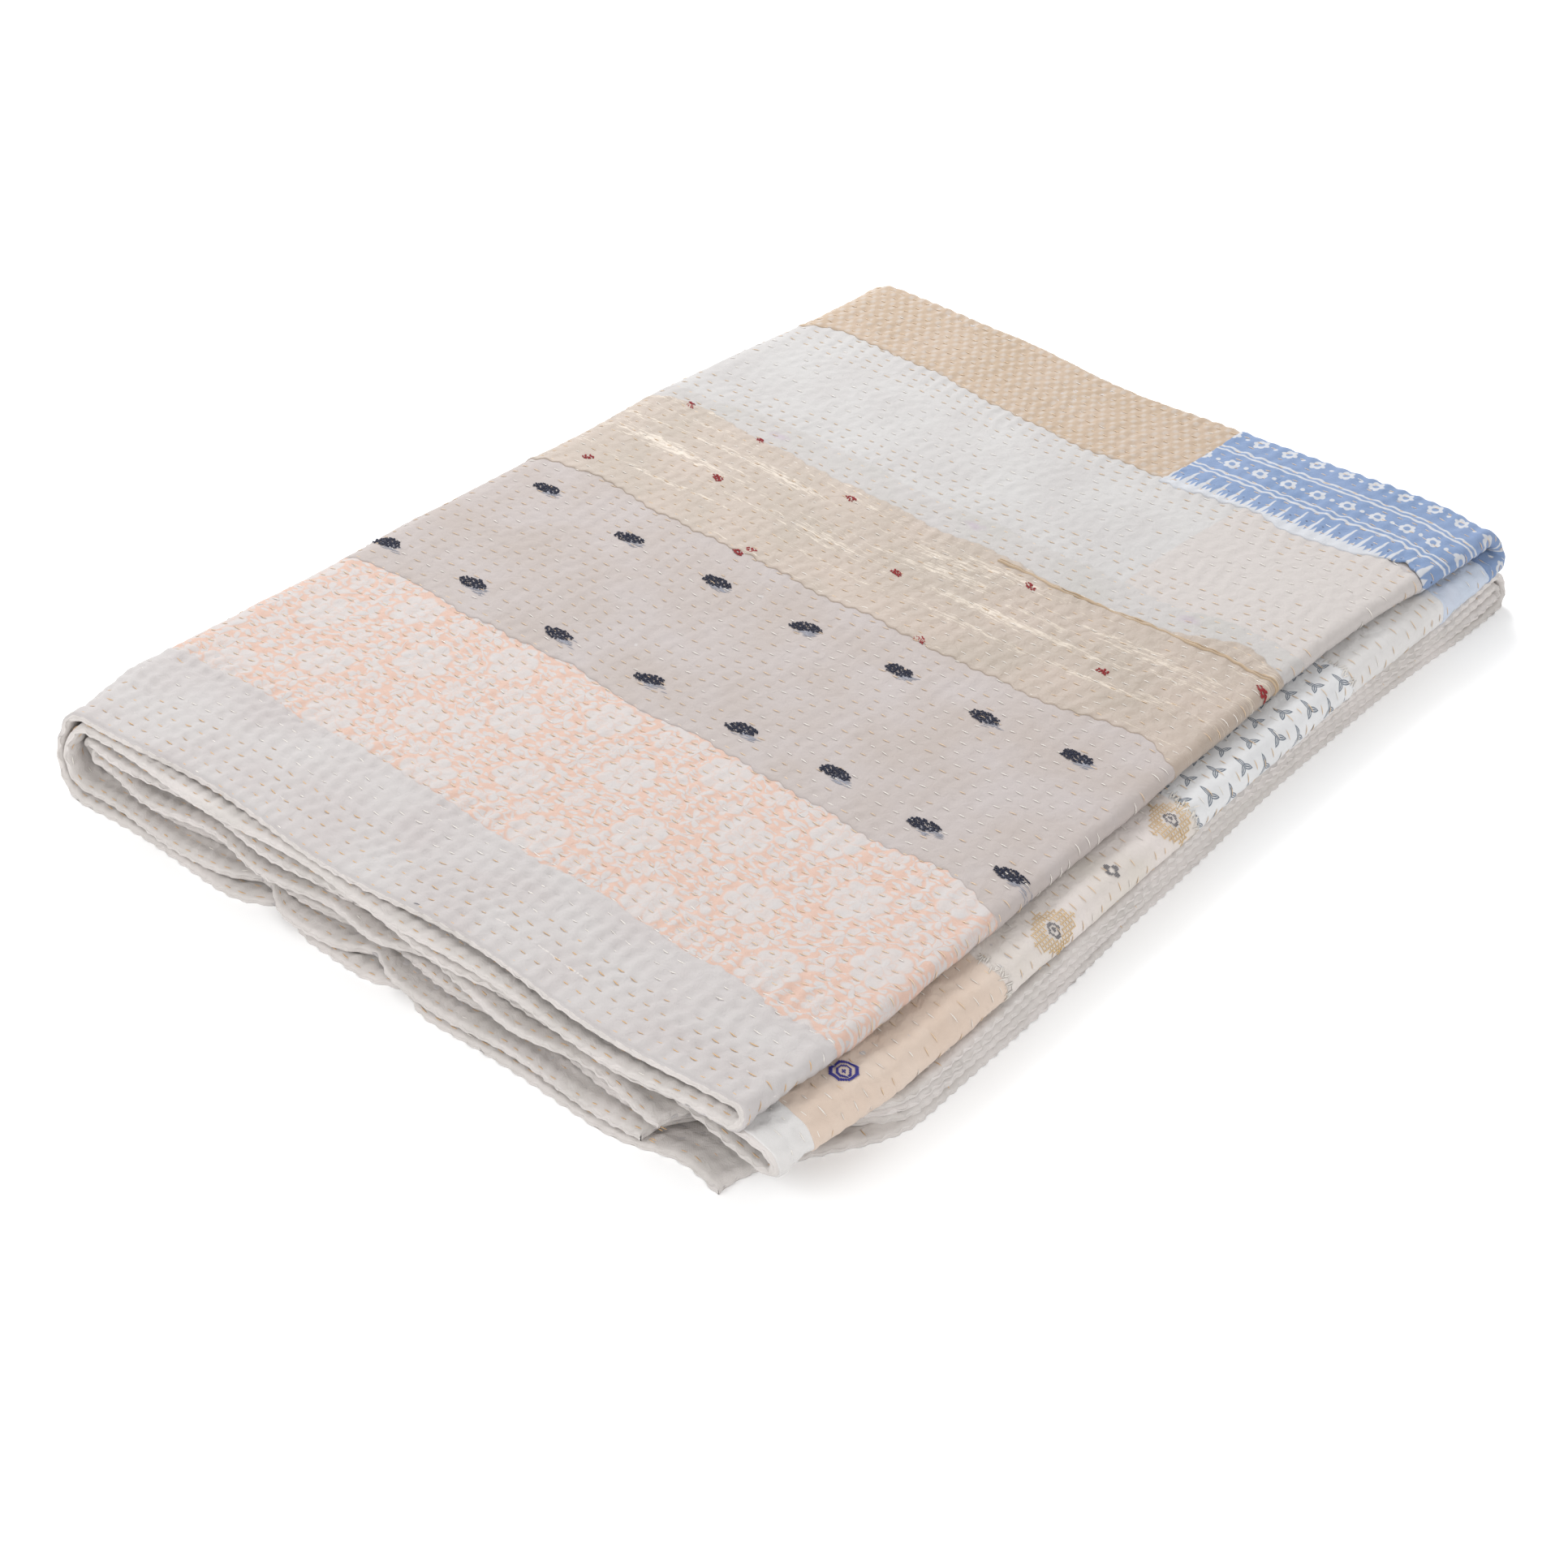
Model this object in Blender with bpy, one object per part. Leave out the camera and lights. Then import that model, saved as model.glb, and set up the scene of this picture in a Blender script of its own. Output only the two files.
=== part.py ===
"""A kantha quilt: layers of old cotton sewn together by hand with running stitch.

It is one flat cloth, folded in half three times into a low pile of eight layers.
Layer 1 is the top of the pile and layer 8 lies on the surface. Seen from the front,
all eight front hems show. The first fold runs along the right side, and joins layer 1
to 2 and 3 to 4. The second runs along the back, and joins 1 to 4, 2 to 3, 5 to 8 and
6 to 7. The third runs along the left side, and joins 1 to 8, 2 to 7, 3 to 6 and 4 to 5.

+Z is up, +X points to the right side and +Y to the back. The origin is the middle of
the underside of the pile's box. Sizes are in millimetres, and the mesh is in metres.
Tables measure X from the pile's right line, to the left negative, and Y from its front
line, to the back positive.
"""

import math
from collections import namedtuple

import bpy
import numpy as np

MM = 0.001

PILE_WIDTH = 552.0  # from the right line to the arcs of the left folds
PILE_LENGTH = 762.0  # from the front line to the arcs of the back folds
CLOTH = 3.0  # thickness of the stitched layers of cotton
STEP = 7.3  # from the middle of one layer to the next
SKEW = 0.035  # the front and back lines run a little backwards towards the left

LEFT_RADIUS = 2 * STEP  # each fold turns round the layers inside it
BACK_RADIUS = STEP
RIGHT_RADIUS = STEP / 2

# How far the line where the left folds' arcs start is pulled in, to the right, at these
# distances from the front.
LEFT_STATIONS = (0.0, 70.0, 260.0, 520.0, PILE_LENGTH)
LEFT_PULL = (4.0, -8.0, -2.0, 6.0, 28.0)

# How far the line where the back folds' arcs start is pulled in, to the front, at these
# places along X.
BACK_STATIONS = (-PILE_WIDTH, -440.0, -290.0, -150.0, -40.0, 0.0)
BACK_PULL = (0.0, 1.0, 13.0, 10.0, 5.0, 12.0)

# One row for each layer. front and right are the heights of its middle at the front hems
# and along the right side. hem is where its front hem lies, with a wave of the given
# size and length. The rest are where it ends on the right, before the arc of a fold: at
# the front, at 110 and 560 from the front, and at the back.
Layer = namedtuple("Layer", "front right hem wave length side_front side_110 side_560 side_back")
LAYERS = (
    Layer(55.5, 54.0, 5.0, 3.5, 230.0, -28.0, -21.0, -23.0, -6.0),
    Layer(43.0, 46.3, -1.0, 2.0, 170.0, -28.0, -21.0, -23.0, -6.0),
    Layer(37.5, 40.5, 3.0, 3.0, 140.0, -12.0, -1.0, -5.0, 0.0),
    Layer(31.0, 19.5, 11.0, 3.0, 190.0, -12.0, -1.0, -5.0, 0.0),
    Layer(25.0, 14.6, 0.0, 3.5, 120.0, -74.0, 10.5, 0.5, 8.0),
    Layer(15.5, 10.3, 7.0, 3.0, 150.0, -80.0, 12.5, 1.5, 9.5),
    Layer(9.0, 6.0, -7.0, 1.5, 135.0, -84.0, 14.5, 2.5, 11.5),
    Layer(1.5, 1.5, -9.0, 1.5, 160.0, -31.0, 17.0, 4.0, 13.0),
)
SIDE_STATIONS = (0.0, 110.0, 560.0, PILE_LENGTH)

# Places where some front hems are drawn back, as soft notches.
Notch = namedtuple("Notch", "layers x depth width")
NOTCHES = (
    Notch((7, 8), -370.0, 12.0, 21.0),
    Notch((7, 8), -257.0, 9.0, 17.0),
    Notch((5,), -222.0, 10.0, 27.0),
    Notch((8,), -31.0, 9.0, 30.0),
)

# How far the two right folds swell outwards, as a multiple of their radius.
FIRST_FOLD_SWELL = 1.5
SECOND_FOLD_SWELL = 2.6

FRONT_REACH = 95.0  # how far the front heights reach into the pile
RIGHT_REACH = 70.0  # and the right heights, from this line
RIGHT_REFERENCE = -10.0
BACK_REACH = 60.0  # over this last stretch the back folds hold the layers evenly apart
PUFF = 1.0  # slow rise and fall of the top of the pile

# The front hem of layer 2 lies close under layer 1 on the left, and drops away between
# these places along X, where the mouth of the first right fold opens.
SECOND_LAYER_LEVEL = 6
SECOND_HEM_LIFT = 6.0
MOUTH_STATIONS = (-300.0, -120.0)

# Steps of the mesh, along each run of cloth and round each fold.
LOWER_RUN_STEPS = 24
UPPER_RUN_STEPS = 16
BACK_RUN_SHARES = (0.0, 0.11, 0.27, 0.43, 0.59, 0.73, 0.85, 0.92, 0.97, 1.0)
RIGHT_FOLD_STEPS = 6
LEFT_FOLD_STEPS = 8
BACK_FOLD_STEPS = 6

COTTON_COLOUR = (0.80, 0.76, 0.72, 1.0)
COTTON_ROUGHNESS = 0.92


def remove_scene_objects():
    for item in list(bpy.data.objects):
        bpy.data.objects.remove(item, do_unlink=True)


def column(name):
    """One column of the table of layers, as an array of eight."""
    return np.array([getattr(layer, name) for layer in LAYERS])


def eased(place, stations, values):
    """Values between stations, eased so that the line has no corner at a station."""
    index = np.clip(np.searchsorted(stations, place, side="right") - 1, 0, len(stations) - 2)
    start = np.take(stations, index)
    share = np.clip((place - start) / (np.take(stations, index + 1) - start), 0.0, 1.0)
    share = share * share * (3.0 - 2.0 * share)
    return np.take(values, index) * (1.0 - share) + np.take(values, index + 1) * share


def across_stations():
    """Along X, from layer 8's free side hem to layer 7's: runs, left folds, right fold.

    Returns the share of each run passed from the left fold, the angle round the left
    fold and the angle round the right fold, each as one number per column of the mesh.
    """
    lower = np.linspace(1.0, 0.0, LOWER_RUN_STEPS + 1)
    upper = np.linspace(0.0, 1.0, UPPER_RUN_STEPS + 1)
    left = np.linspace(math.pi / 2, -math.pi / 2, LEFT_FOLD_STEPS + 1)
    right = np.linspace(-math.pi / 2, math.pi / 2, RIGHT_FOLD_STEPS + 1)
    half_share = np.concatenate([lower, np.zeros(LEFT_FOLD_STEPS - 1), upper])
    half_left = np.concatenate(
        [
            np.full(LOWER_RUN_STEPS, math.pi / 2),
            left,
            np.full(UPPER_RUN_STEPS, -math.pi / 2),
        ]
    )
    inner = right[1:-1]
    share = np.concatenate([half_share, np.ones(len(inner)), half_share[::-1]])
    left_angle = np.concatenate([half_left, np.full(len(inner), -math.pi / 2), half_left[::-1]])
    right_angle = np.concatenate(
        [np.full(len(half_left), -math.pi / 2), inner, np.full(len(half_left), math.pi / 2)]
    )
    return share, left_angle, right_angle


def along_stations():
    """Along Y, from the upper front hems round the back folds to the lower ones."""
    run = np.array(BACK_RUN_SHARES)[::-1]
    back = np.linspace(-math.pi / 2, math.pi / 2, BACK_FOLD_STEPS + 1)
    share = np.concatenate([run, np.zeros(BACK_FOLD_STEPS - 1), run[::-1]])
    angle = np.concatenate(
        [
            np.full(len(run) - 1, -math.pi / 2),
            back,
            np.full(len(run) - 1, math.pi / 2),
        ]
    )
    return share, angle


def layer_weights(left_angle, back_angle, right_angle):
    """How much of each layer a point belongs to: 1 on its flat, shared round a fold."""
    below = (1.0 + np.sin(left_angle)) / 2.0
    behind = (1.0 + np.sin(back_angle)) / 2.0
    under = (1.0 + np.sin(right_angle)) / 2.0
    upper = [
        (1.0 - behind) * (1.0 - under),
        (1.0 - behind) * under,
        behind * under,
        behind * (1.0 - under),
    ]
    weights = [(1.0 - below) * part for part in upper]
    weights += [below * part for part in upper[::-1]]
    return weights


def blended(weights, values):
    return sum(weight * value for weight, value in zip(weights, values))


def front_hems(x):
    """Where each layer's front hem lies at this X: its row's place, wave and notches."""
    hems = []
    for number, layer in enumerate(LAYERS, start=1):
        line = layer.hem + layer.wave * np.sin(2.0 * math.pi * x / layer.length + number)
        for notch in NOTCHES:
            if number in notch.layers:
                line = line + notch.depth * np.exp(-(((x - notch.x) / notch.width) ** 2))
        hems.append(line)
    return hems


def side_ends(y):
    """Where each layer ends on the right, at this distance from the front."""
    return [
        eased(y, SIDE_STATIONS, (row.side_front, row.side_110, row.side_560, row.side_back))
        for row in LAYERS
    ]


def height(level, x, y):
    """Height of a level of the even pile, once the front and right heights are blended in."""
    order = np.arange(len(LAYERS))
    mid = CLOTH / 2.0 + STEP * level
    front = np.interp(level, order, column("front")[::-1])
    second = np.clip(1.0 - np.abs(level - SECOND_LAYER_LEVEL), 0.0, 1.0)
    front = front + SECOND_HEM_LIFT * second * eased(x, MOUTH_STATIONS, (1.0, 0.0))
    right = np.interp(level, order, column("right")[::-1])
    near_front = np.exp(-((np.maximum(y, 0.0) / FRONT_REACH) ** 2))
    from_right = np.maximum(RIGHT_REFERENCE - x, 0.0)
    near_right = np.exp(-((from_right / RIGHT_REACH) ** 2))
    from_back = np.maximum(PILE_LENGTH - y, 0.0)
    near_right = near_right * (1.0 - np.exp(-((from_back / BACK_REACH) ** 2)))
    flat = mid + near_front * (front - mid)
    puff = PUFF * np.sin(x / 57.0 + 0.8) * np.sin(y / 71.0 + 0.3)
    top_share = (level / (len(LAYERS) - 1)) ** 2
    return flat + near_right * (right - flat) + top_share * puff


def folded_sheet():
    """The middle of the cloth as a grid of points.

    Each fold bends the stack about its arc: right fold first, then the back fold, then
    the left fold. A ply at distance d from the middle of the bend turns at its own
    radius, so plies never meet.
    """
    run, left_angle, right_angle = (part[:, None] for part in across_stations())
    back_run, back_angle = (part[None, :] for part in along_stations())
    weights = layer_weights(left_angle, back_angle, right_angle)

    ply = -RIGHT_RADIUS * np.sin(right_angle)
    back_radius = BACK_RADIUS + ply
    rise = -back_radius * np.sin(back_angle)
    left_radius = LEFT_RADIUS + rise
    level = (len(LAYERS) - 1) / 2.0 - left_radius * np.sin(left_angle) / STEP

    typical_x = -PILE_WIDTH * (1.0 - run) - left_radius * np.cos(left_angle)
    front_line = blended(weights, front_hems(typical_x))
    back_line = PILE_LENGTH - eased(typical_x, BACK_STATIONS, BACK_PULL)
    y = back_line + back_run * (front_line - back_line)
    y = y + back_radius * np.cos(back_angle)

    left_line = eased(y, LEFT_STATIONS, LEFT_PULL) - PILE_WIDTH
    right_line = blended(weights, side_ends(y))
    second_fold = (1.0 + np.sin(back_angle)) / 2.0
    swell = FIRST_FOLD_SWELL + second_fold * (SECOND_FOLD_SWELL - FIRST_FOLD_SWELL)
    x = left_line + run * (right_line - left_line)
    x = x - left_radius * np.cos(left_angle) + RIGHT_RADIUS * swell * np.cos(right_angle)

    z = height(level, x, y)
    return np.stack([x, y - SKEW * x, z], axis=-1)


def grid_faces(rows, columns):
    """Four-sided faces of a grid whose points are numbered row by row."""
    corner = np.arange(rows - 1)[:, None] * columns + np.arange(columns - 1)[None, :]
    corner = corner.ravel()
    return np.stack([corner, corner + 1, corner + columns + 1, corner + columns], axis=1)


def cotton_material():
    """Old plain-woven cotton: off-white, soft and dull."""
    material = bpy.data.materials.new("stitched_cotton")
    material.use_nodes = True
    shader = material.node_tree.nodes["Principled BSDF"]
    shader.inputs["Base Color"].default_value = COTTON_COLOUR
    shader.inputs["Roughness"].default_value = COTTON_ROUGHNESS
    shader.inputs["Metallic"].default_value = 0.0
    return material


def box_centre(piece):
    """Middle of the finished piece's box along X and Y."""
    finished = piece.evaluated_get(bpy.context.evaluated_depsgraph_get())
    corners = np.array(finished.bound_box)
    middle = (corners.min(axis=0) + corners.max(axis=0)) / 2.0
    return middle[:2]


def quilt():
    """The whole folded cloth, hems included, as one closed sheet of even thickness."""
    points = folded_sheet() * MM
    rows, columns = points.shape[:2]
    mesh = bpy.data.meshes.new("quilt")
    mesh.from_pydata(points.reshape(-1, 3).tolist(), [], grid_faces(rows, columns).tolist())
    mesh.materials.append(cotton_material())
    piece = bpy.data.objects.new("quilt", mesh)
    bpy.context.collection.objects.link(piece)

    cloth = piece.modifiers.new("cloth", "SOLIDIFY")
    cloth.thickness = CLOTH * MM
    cloth.offset = 0.0
    cloth.use_even_offset = False
    cloth.use_quality_normals = True

    middle = box_centre(piece)
    points[..., :2] -= middle
    mesh.vertices.foreach_set("co", points.reshape(-1))
    mesh.shade_smooth()
    mesh.update()
    return piece


remove_scene_objects()
quilt()
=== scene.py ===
"""The looks of a folded kantha quilt: old cottons, patched, sewn together by hand and folded.

The quilt is made here as it is made in life. Every patch, stitch and woven mark has its
place on the flat cloth, and one function then carries it through the folds.
"""

import math
from collections import namedtuple

import bpy
import numpy as np
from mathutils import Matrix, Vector


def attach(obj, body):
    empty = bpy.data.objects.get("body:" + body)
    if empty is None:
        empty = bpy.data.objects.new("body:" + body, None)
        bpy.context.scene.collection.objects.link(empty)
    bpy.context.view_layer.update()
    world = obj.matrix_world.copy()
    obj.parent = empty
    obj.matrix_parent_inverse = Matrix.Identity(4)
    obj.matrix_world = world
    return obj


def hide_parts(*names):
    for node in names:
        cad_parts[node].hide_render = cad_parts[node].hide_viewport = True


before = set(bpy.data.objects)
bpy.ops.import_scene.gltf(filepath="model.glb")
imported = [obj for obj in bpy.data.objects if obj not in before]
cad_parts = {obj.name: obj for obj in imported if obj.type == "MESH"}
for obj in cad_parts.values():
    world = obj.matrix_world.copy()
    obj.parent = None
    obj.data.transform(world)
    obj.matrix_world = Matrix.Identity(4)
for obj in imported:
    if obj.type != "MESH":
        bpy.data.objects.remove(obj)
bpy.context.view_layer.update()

# ---- The folded cloth ----
# Two or three old cottons laid on each other and sewn together all over, 2.28 by 1.52 m
# when spread out. It is folded in half three times, with the folds of the node "quilt",
# and only plain cotton shows of it, between the patches and inside the folds.

MM = 0.001
PILE_WIDTH = 552.0  # from the right line to the arcs of the left folds
PILE_LENGTH = 762.0  # from the front line to the arcs of the back folds
PILE_MIDDLE = (-284.7, 393.6)  # of its box, from the right line and the front line
STEP = 7.3  # from the middle of one layer to the next
SKEW = 0.035
HALF_CLOTH = 1.5
CORE = 1.1  # half the thickness of the plain cloth under the patches and hems
LEFT_RADIUS = 2 * STEP
BACK_RADIUS = STEP
RIGHT_RADIUS = STEP / 2
FIRST_HALF_ARC = 7.5  # cloth from the middle of the upper right fold to its flat
SECOND_HALF_ARC = 15.5  # and of the lower, fuller one
BACK_HALF_ARC = math.pi * (BACK_RADIUS + RIGHT_RADIUS) / 2.0
HEM_TO_FOLD = PILE_LENGTH + BACK_HALF_ARC  # from a front hem to the middle of the back folds

# How far the left line and the back line stand in from straight ones, at places along them.
LEFT_STATIONS = (0.0, 70.0, 260.0, 520.0, PILE_LENGTH)
LEFT_PULL = (4.0, -8.0, -2.0, 6.0, 28.0)
BACK_STATIONS = (-PILE_WIDTH, -440.0, -290.0, -150.0, -40.0, 0.0)
BACK_PULL = (0.0, 1.0, 13.0, 10.0, 5.0, 12.0)

# Of each layer from the top down: the height of its middle at the front and at the right,
# its front hem's place, wave and wave length, and its right line at the SIDE_STATIONS.
Layer = namedtuple("Layer", "front right hem wave length side_front side_110 side_560 side_back")
LAYERS = (
    Layer(55.5, 54.0, 5.0, 3.5, 230.0, -28.0, -21.0, -23.0, -6.0),
    Layer(43.0, 46.3, -1.0, 2.0, 170.0, -28.0, -21.0, -23.0, -6.0),
    Layer(37.5, 40.5, 3.0, 3.0, 140.0, -12.0, -1.0, -5.0, 0.0),
    Layer(31.0, 19.5, 11.0, 3.0, 190.0, -12.0, -1.0, -5.0, 0.0),
    Layer(25.0, 14.6, 0.0, 3.5, 120.0, -74.0, 10.5, 0.5, 8.0),
    Layer(15.5, 10.3, 7.0, 3.0, 150.0, -80.0, 12.5, 1.5, 9.5),
    Layer(9.0, 6.0, -7.0, 1.5, 135.0, -84.0, 14.5, 2.5, 11.5),
    Layer(1.5, 1.5, -9.0, 1.5, 160.0, -31.0, 17.0, 4.0, 13.0),
)
SIDE_STATIONS = (0.0, 110.0, 560.0, PILE_LENGTH)
Notch = namedtuple("Notch", "layers x depth width")
NOTCHES = (
    Notch((7, 8), -370.0, 12.0, 21.0),
    Notch((7, 8), -257.0, 9.0, 17.0),
    Notch((5,), -222.0, 10.0, 27.0),
    Notch((8,), -31.0, 9.0, 30.0),
)
FIRST_FOLD_SWELL = 1.5  # how far a right fold stands out, in radii of its arc
SECOND_FOLD_SWELL = 2.6
FRONT_REACH = 95.0  # over which the front and right heights fade into the even pile
RIGHT_REACH = 70.0
RIGHT_REFERENCE = -10.0
BACK_REACH = 60.0
PUFF = 1.0  # height of the slow swells on the top
SECOND_LAYER_LEVEL = 6  # layer 2, counted up from the lowest, 0
SECOND_HEM_LIFT = 6.0  # of layer 2's front hem, on the left
MOUTH_STATIONS = (-300.0, -120.0)  # where that lift ends, across the pile

ROW = 9.7  # from one row of running stitch to the next
PITCH = 12.0  # from one stitch to the next in its row
PUCKER = 2.2  # height of the puffed cotton between the stitches
# How far the cotton is puffed, at places in from the front hems.
PUFF_STATIONS = (85.0, 120.0, 230.0, 255.0, 500.0, 530.0, 640.0, 680.0)
PUFFS = (1.05, 0.6, 0.55, 0.35, 0.4, 0.48, 0.4, 0.7)


def column(name):
    """One column of the table of layers, as an array of eight."""
    return np.array([getattr(layer, name) for layer in LAYERS])


def eased(place, stations, values):
    """Values between stations, eased so that the line has no corner at a station."""
    index = np.clip(np.searchsorted(stations, place, side="right") - 1, 0, len(stations) - 2)
    start = np.take(stations, index)
    share = np.clip((place - start) / (np.take(stations, index + 1) - start), 0.0, 1.0)
    share = share * share * (3.0 - 2.0 * share)
    return np.take(values, index) * (1.0 - share) + np.take(values, index + 1) * share


def rise(value, low, high):
    """Smooth step: 0 below low, 1 above high, 3t^2 - 2t^3 between them."""
    share = np.clip((value - low) / (high - low), 0.0, 1.0)
    return share * share * (3.0 - 2.0 * share)


def height(level, x, y):
    """Height of a level of the even pile, once the front and right heights are blended in."""
    order = np.arange(len(LAYERS))
    mid = HALF_CLOTH + STEP * level
    front = np.interp(level, order, column("front")[::-1])
    second = np.clip(1.0 - np.abs(level - SECOND_LAYER_LEVEL), 0.0, 1.0)
    front = front + SECOND_HEM_LIFT * second * eased(x, MOUTH_STATIONS, (1.0, 0.0))
    right = np.interp(level, order, column("right")[::-1])
    near_front = np.exp(-((np.maximum(y, 0.0) / FRONT_REACH) ** 2))
    near_right = np.exp(-((np.maximum(RIGHT_REFERENCE - x, 0.0) / RIGHT_REACH) ** 2))
    from_back = np.maximum(PILE_LENGTH - y, 0.0)
    near_right = near_right * (1.0 - np.exp(-((from_back / BACK_REACH) ** 2)))
    flat = mid + near_front * (front - mid)
    puff = PUFF * np.sin(x / 57.0 + 0.8) * np.sin(y / 71.0 + 0.3)
    return flat + near_right * (right - flat) + (level / (len(LAYERS) - 1)) ** 2 * puff


def folded(p, q):
    """The middle of the cloth, in mm, at station p across and q along.

    |p| runs 0..1 round half a right fold, 1..2 over the upper run, 2..3 round a left
    fold and 3..4 over the lower run, to a free side hem. |q| runs 0..1 round half a back
    fold and 1..2 to a front hem. p and q are negative towards layer 1.
    """
    right_angle = np.clip(p, -1.0, 1.0) * math.pi / 2.0
    back_angle = np.clip(q, -1.0, 1.0) * math.pi / 2.0
    left_angle = (np.clip(np.abs(p) - 2.0, 0.0, 1.0) - 0.5) * math.pi
    run = 1.0 - np.clip(np.abs(p) - 1.0, 0.0, 1.0) + np.maximum(np.abs(p) - 3.0, 0.0)
    back_run = np.maximum(np.abs(q) - 1.0, 0.0)

    below = (1.0 + np.sin(left_angle)) / 2.0
    behind = (1.0 + np.sin(back_angle)) / 2.0
    under = (1.0 + np.sin(right_angle)) / 2.0
    upper = [
        (1.0 - behind) * (1.0 - under),
        (1.0 - behind) * under,
        behind * under,
        behind * (1.0 - under),
    ]
    weights = [(1.0 - below) * part for part in upper] + [below * part for part in upper[::-1]]

    back_radius = BACK_RADIUS - RIGHT_RADIUS * np.sin(right_angle)
    left_radius = LEFT_RADIUS - back_radius * np.sin(back_angle)
    level = (len(LAYERS) - 1) / 2.0 - left_radius * np.sin(left_angle) / STEP

    typical_x = -PILE_WIDTH * (1.0 - run) - left_radius * np.cos(left_angle)
    front_line = 0.0
    for number, (weight, layer) in enumerate(zip(weights, LAYERS), start=1):
        hem = layer.hem + layer.wave * np.sin(2.0 * math.pi * typical_x / layer.length + number)
        for notch in NOTCHES:
            if number in notch.layers:
                hem = hem + notch.depth * np.exp(-(((typical_x - notch.x) / notch.width) ** 2))
        front_line = front_line + weight * hem
    back_line = PILE_LENGTH - eased(typical_x, BACK_STATIONS, BACK_PULL)
    y = back_line + back_run * (front_line - back_line) + back_radius * np.cos(back_angle)

    left_line = eased(y, LEFT_STATIONS, LEFT_PULL) - PILE_WIDTH
    right_line = sum(
        weight * eased(y, SIDE_STATIONS, (at.side_front, at.side_110, at.side_560, at.side_back))
        for weight, at in zip(weights, LAYERS)
    )
    swell = FIRST_FOLD_SWELL + behind * (SECOND_FOLD_SWELL - FIRST_FOLD_SWELL)
    x = left_line + run * (right_line - left_line) - left_radius * np.cos(left_angle)
    x = x + RIGHT_RADIUS * swell * np.cos(right_angle)
    z = height(level, x, y)
    return np.stack([x - PILE_MIDDLE[0], y - SKEW * x - PILE_MIDDLE[1], z], axis=-1)


def arcs(across_side, along_share):
    """Half arc of the right fold and arc of the left fold, as lengths of cloth.

    across_side is -1 to 1 from the outer to the inner ply, along_share -1 to 1 round the
    back fold. The left arc is pi times its radius, which grows towards the outer plies.
    """
    right_half = FIRST_HALF_ARC + (SECOND_HALF_ARC - FIRST_HALF_ARC) * (1.0 + along_share) / 2.0
    back_radius = BACK_RADIUS - RIGHT_RADIUS * across_side
    return right_half, math.pi * (LEFT_RADIUS - back_radius * along_share)


def stations(across, along):
    """Stations of a place on the flat cloth, in mm from the middle of the right and back folds."""
    far = np.abs(along)
    q = np.clip(far / BACK_HALF_ARC, 0.0, 1.0) + np.maximum(far - BACK_HALF_ARC, 0.0) / PILE_LENGTH
    q = q * np.sign(along)
    share = np.sin(np.clip(q, -1.0, 1.0) * math.pi / 2.0)
    right_half, left_arc = arcs(np.clip(across / FIRST_HALF_ARC, -1.0, 1.0), share)
    left = np.abs(across)
    p = np.clip(left / right_half, 0.0, 1.0)
    left = left - right_half
    p = p + np.clip(left / PILE_WIDTH, 0.0, 1.0)
    left = left - PILE_WIDTH
    p = p + np.clip(left / left_arc, 0.0, 1.0)
    p = p + np.maximum(left - left_arc, 0.0) / PILE_WIDTH
    return p * np.sign(across), q


def flat_place(p, q):
    """The other way round: the place on the flat cloth of station p, q."""
    share = np.sin(np.clip(q, -1.0, 1.0) * math.pi / 2.0)
    right_half, left_arc = arcs(np.clip(p, -1.0, 1.0), share)
    p_far, q_far = np.abs(p), np.abs(q)
    across = right_half * np.clip(p_far, 0.0, 1.0) + PILE_WIDTH * np.clip(p_far - 1.0, 0.0, 1.0)
    across = across + left_arc * np.clip(p_far - 2.0, 0.0, 1.0)
    across = across + PILE_WIDTH * np.maximum(p_far - 3.0, 0.0)
    along = BACK_HALF_ARC * np.clip(q_far, 0.0, 1.0) + PILE_LENGTH * np.maximum(q_far - 1.0, 0.0)
    return across * np.sign(p), along * np.sign(q)


def surface(across, along, lift):
    """Points, in metres, at a height in mm off the middle of the cloth, towards its face.

    The way out of the cloth is the cross product of its two directions there. Nothing
    goes below the surface that the quilt lies on.
    """
    across, along, lift = np.broadcast_arrays(across, along, lift)
    small = 0.4

    def at(a, b):
        return folded(*stations(a, b))

    ways = [
        at(across + small, along) - at(across - small, along),
        at(across, along + small) - at(across, along - small),
    ]
    out = np.cross(ways[0], ways[1])
    out = out / np.maximum(np.linalg.norm(out, axis=-1, keepdims=True), 1e-9)
    points = at(across, along) + out * lift[..., None]
    points[..., 2] = np.maximum(points[..., 2], 0.05)
    return points * MM


def hand_rows(across, along):
    """Row and stitch numbers at a place. Both drift by a few sines, as hand sewing does."""
    drift = 1.1 * np.sin(across / 83.0 + along / 61.0) + 0.6 * np.sin(across / 27.0 - along / 43.0)
    slip = 2.2 * np.sin(along / 37.0 + across / 140.0) + 1.3 * np.sin(along / 13.0 - across / 71.0)
    return (along + drift) / ROW, (across + slip) / PITCH


def row_start(row):
    """Where a row's first stitch falls, as a share of a stitch: about half one on from the last."""
    return np.mod(0.5 * row + 0.3 * np.sin(row * 12.9 + 4.0 * np.sin(row * 7.7)), 1.0)


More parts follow.
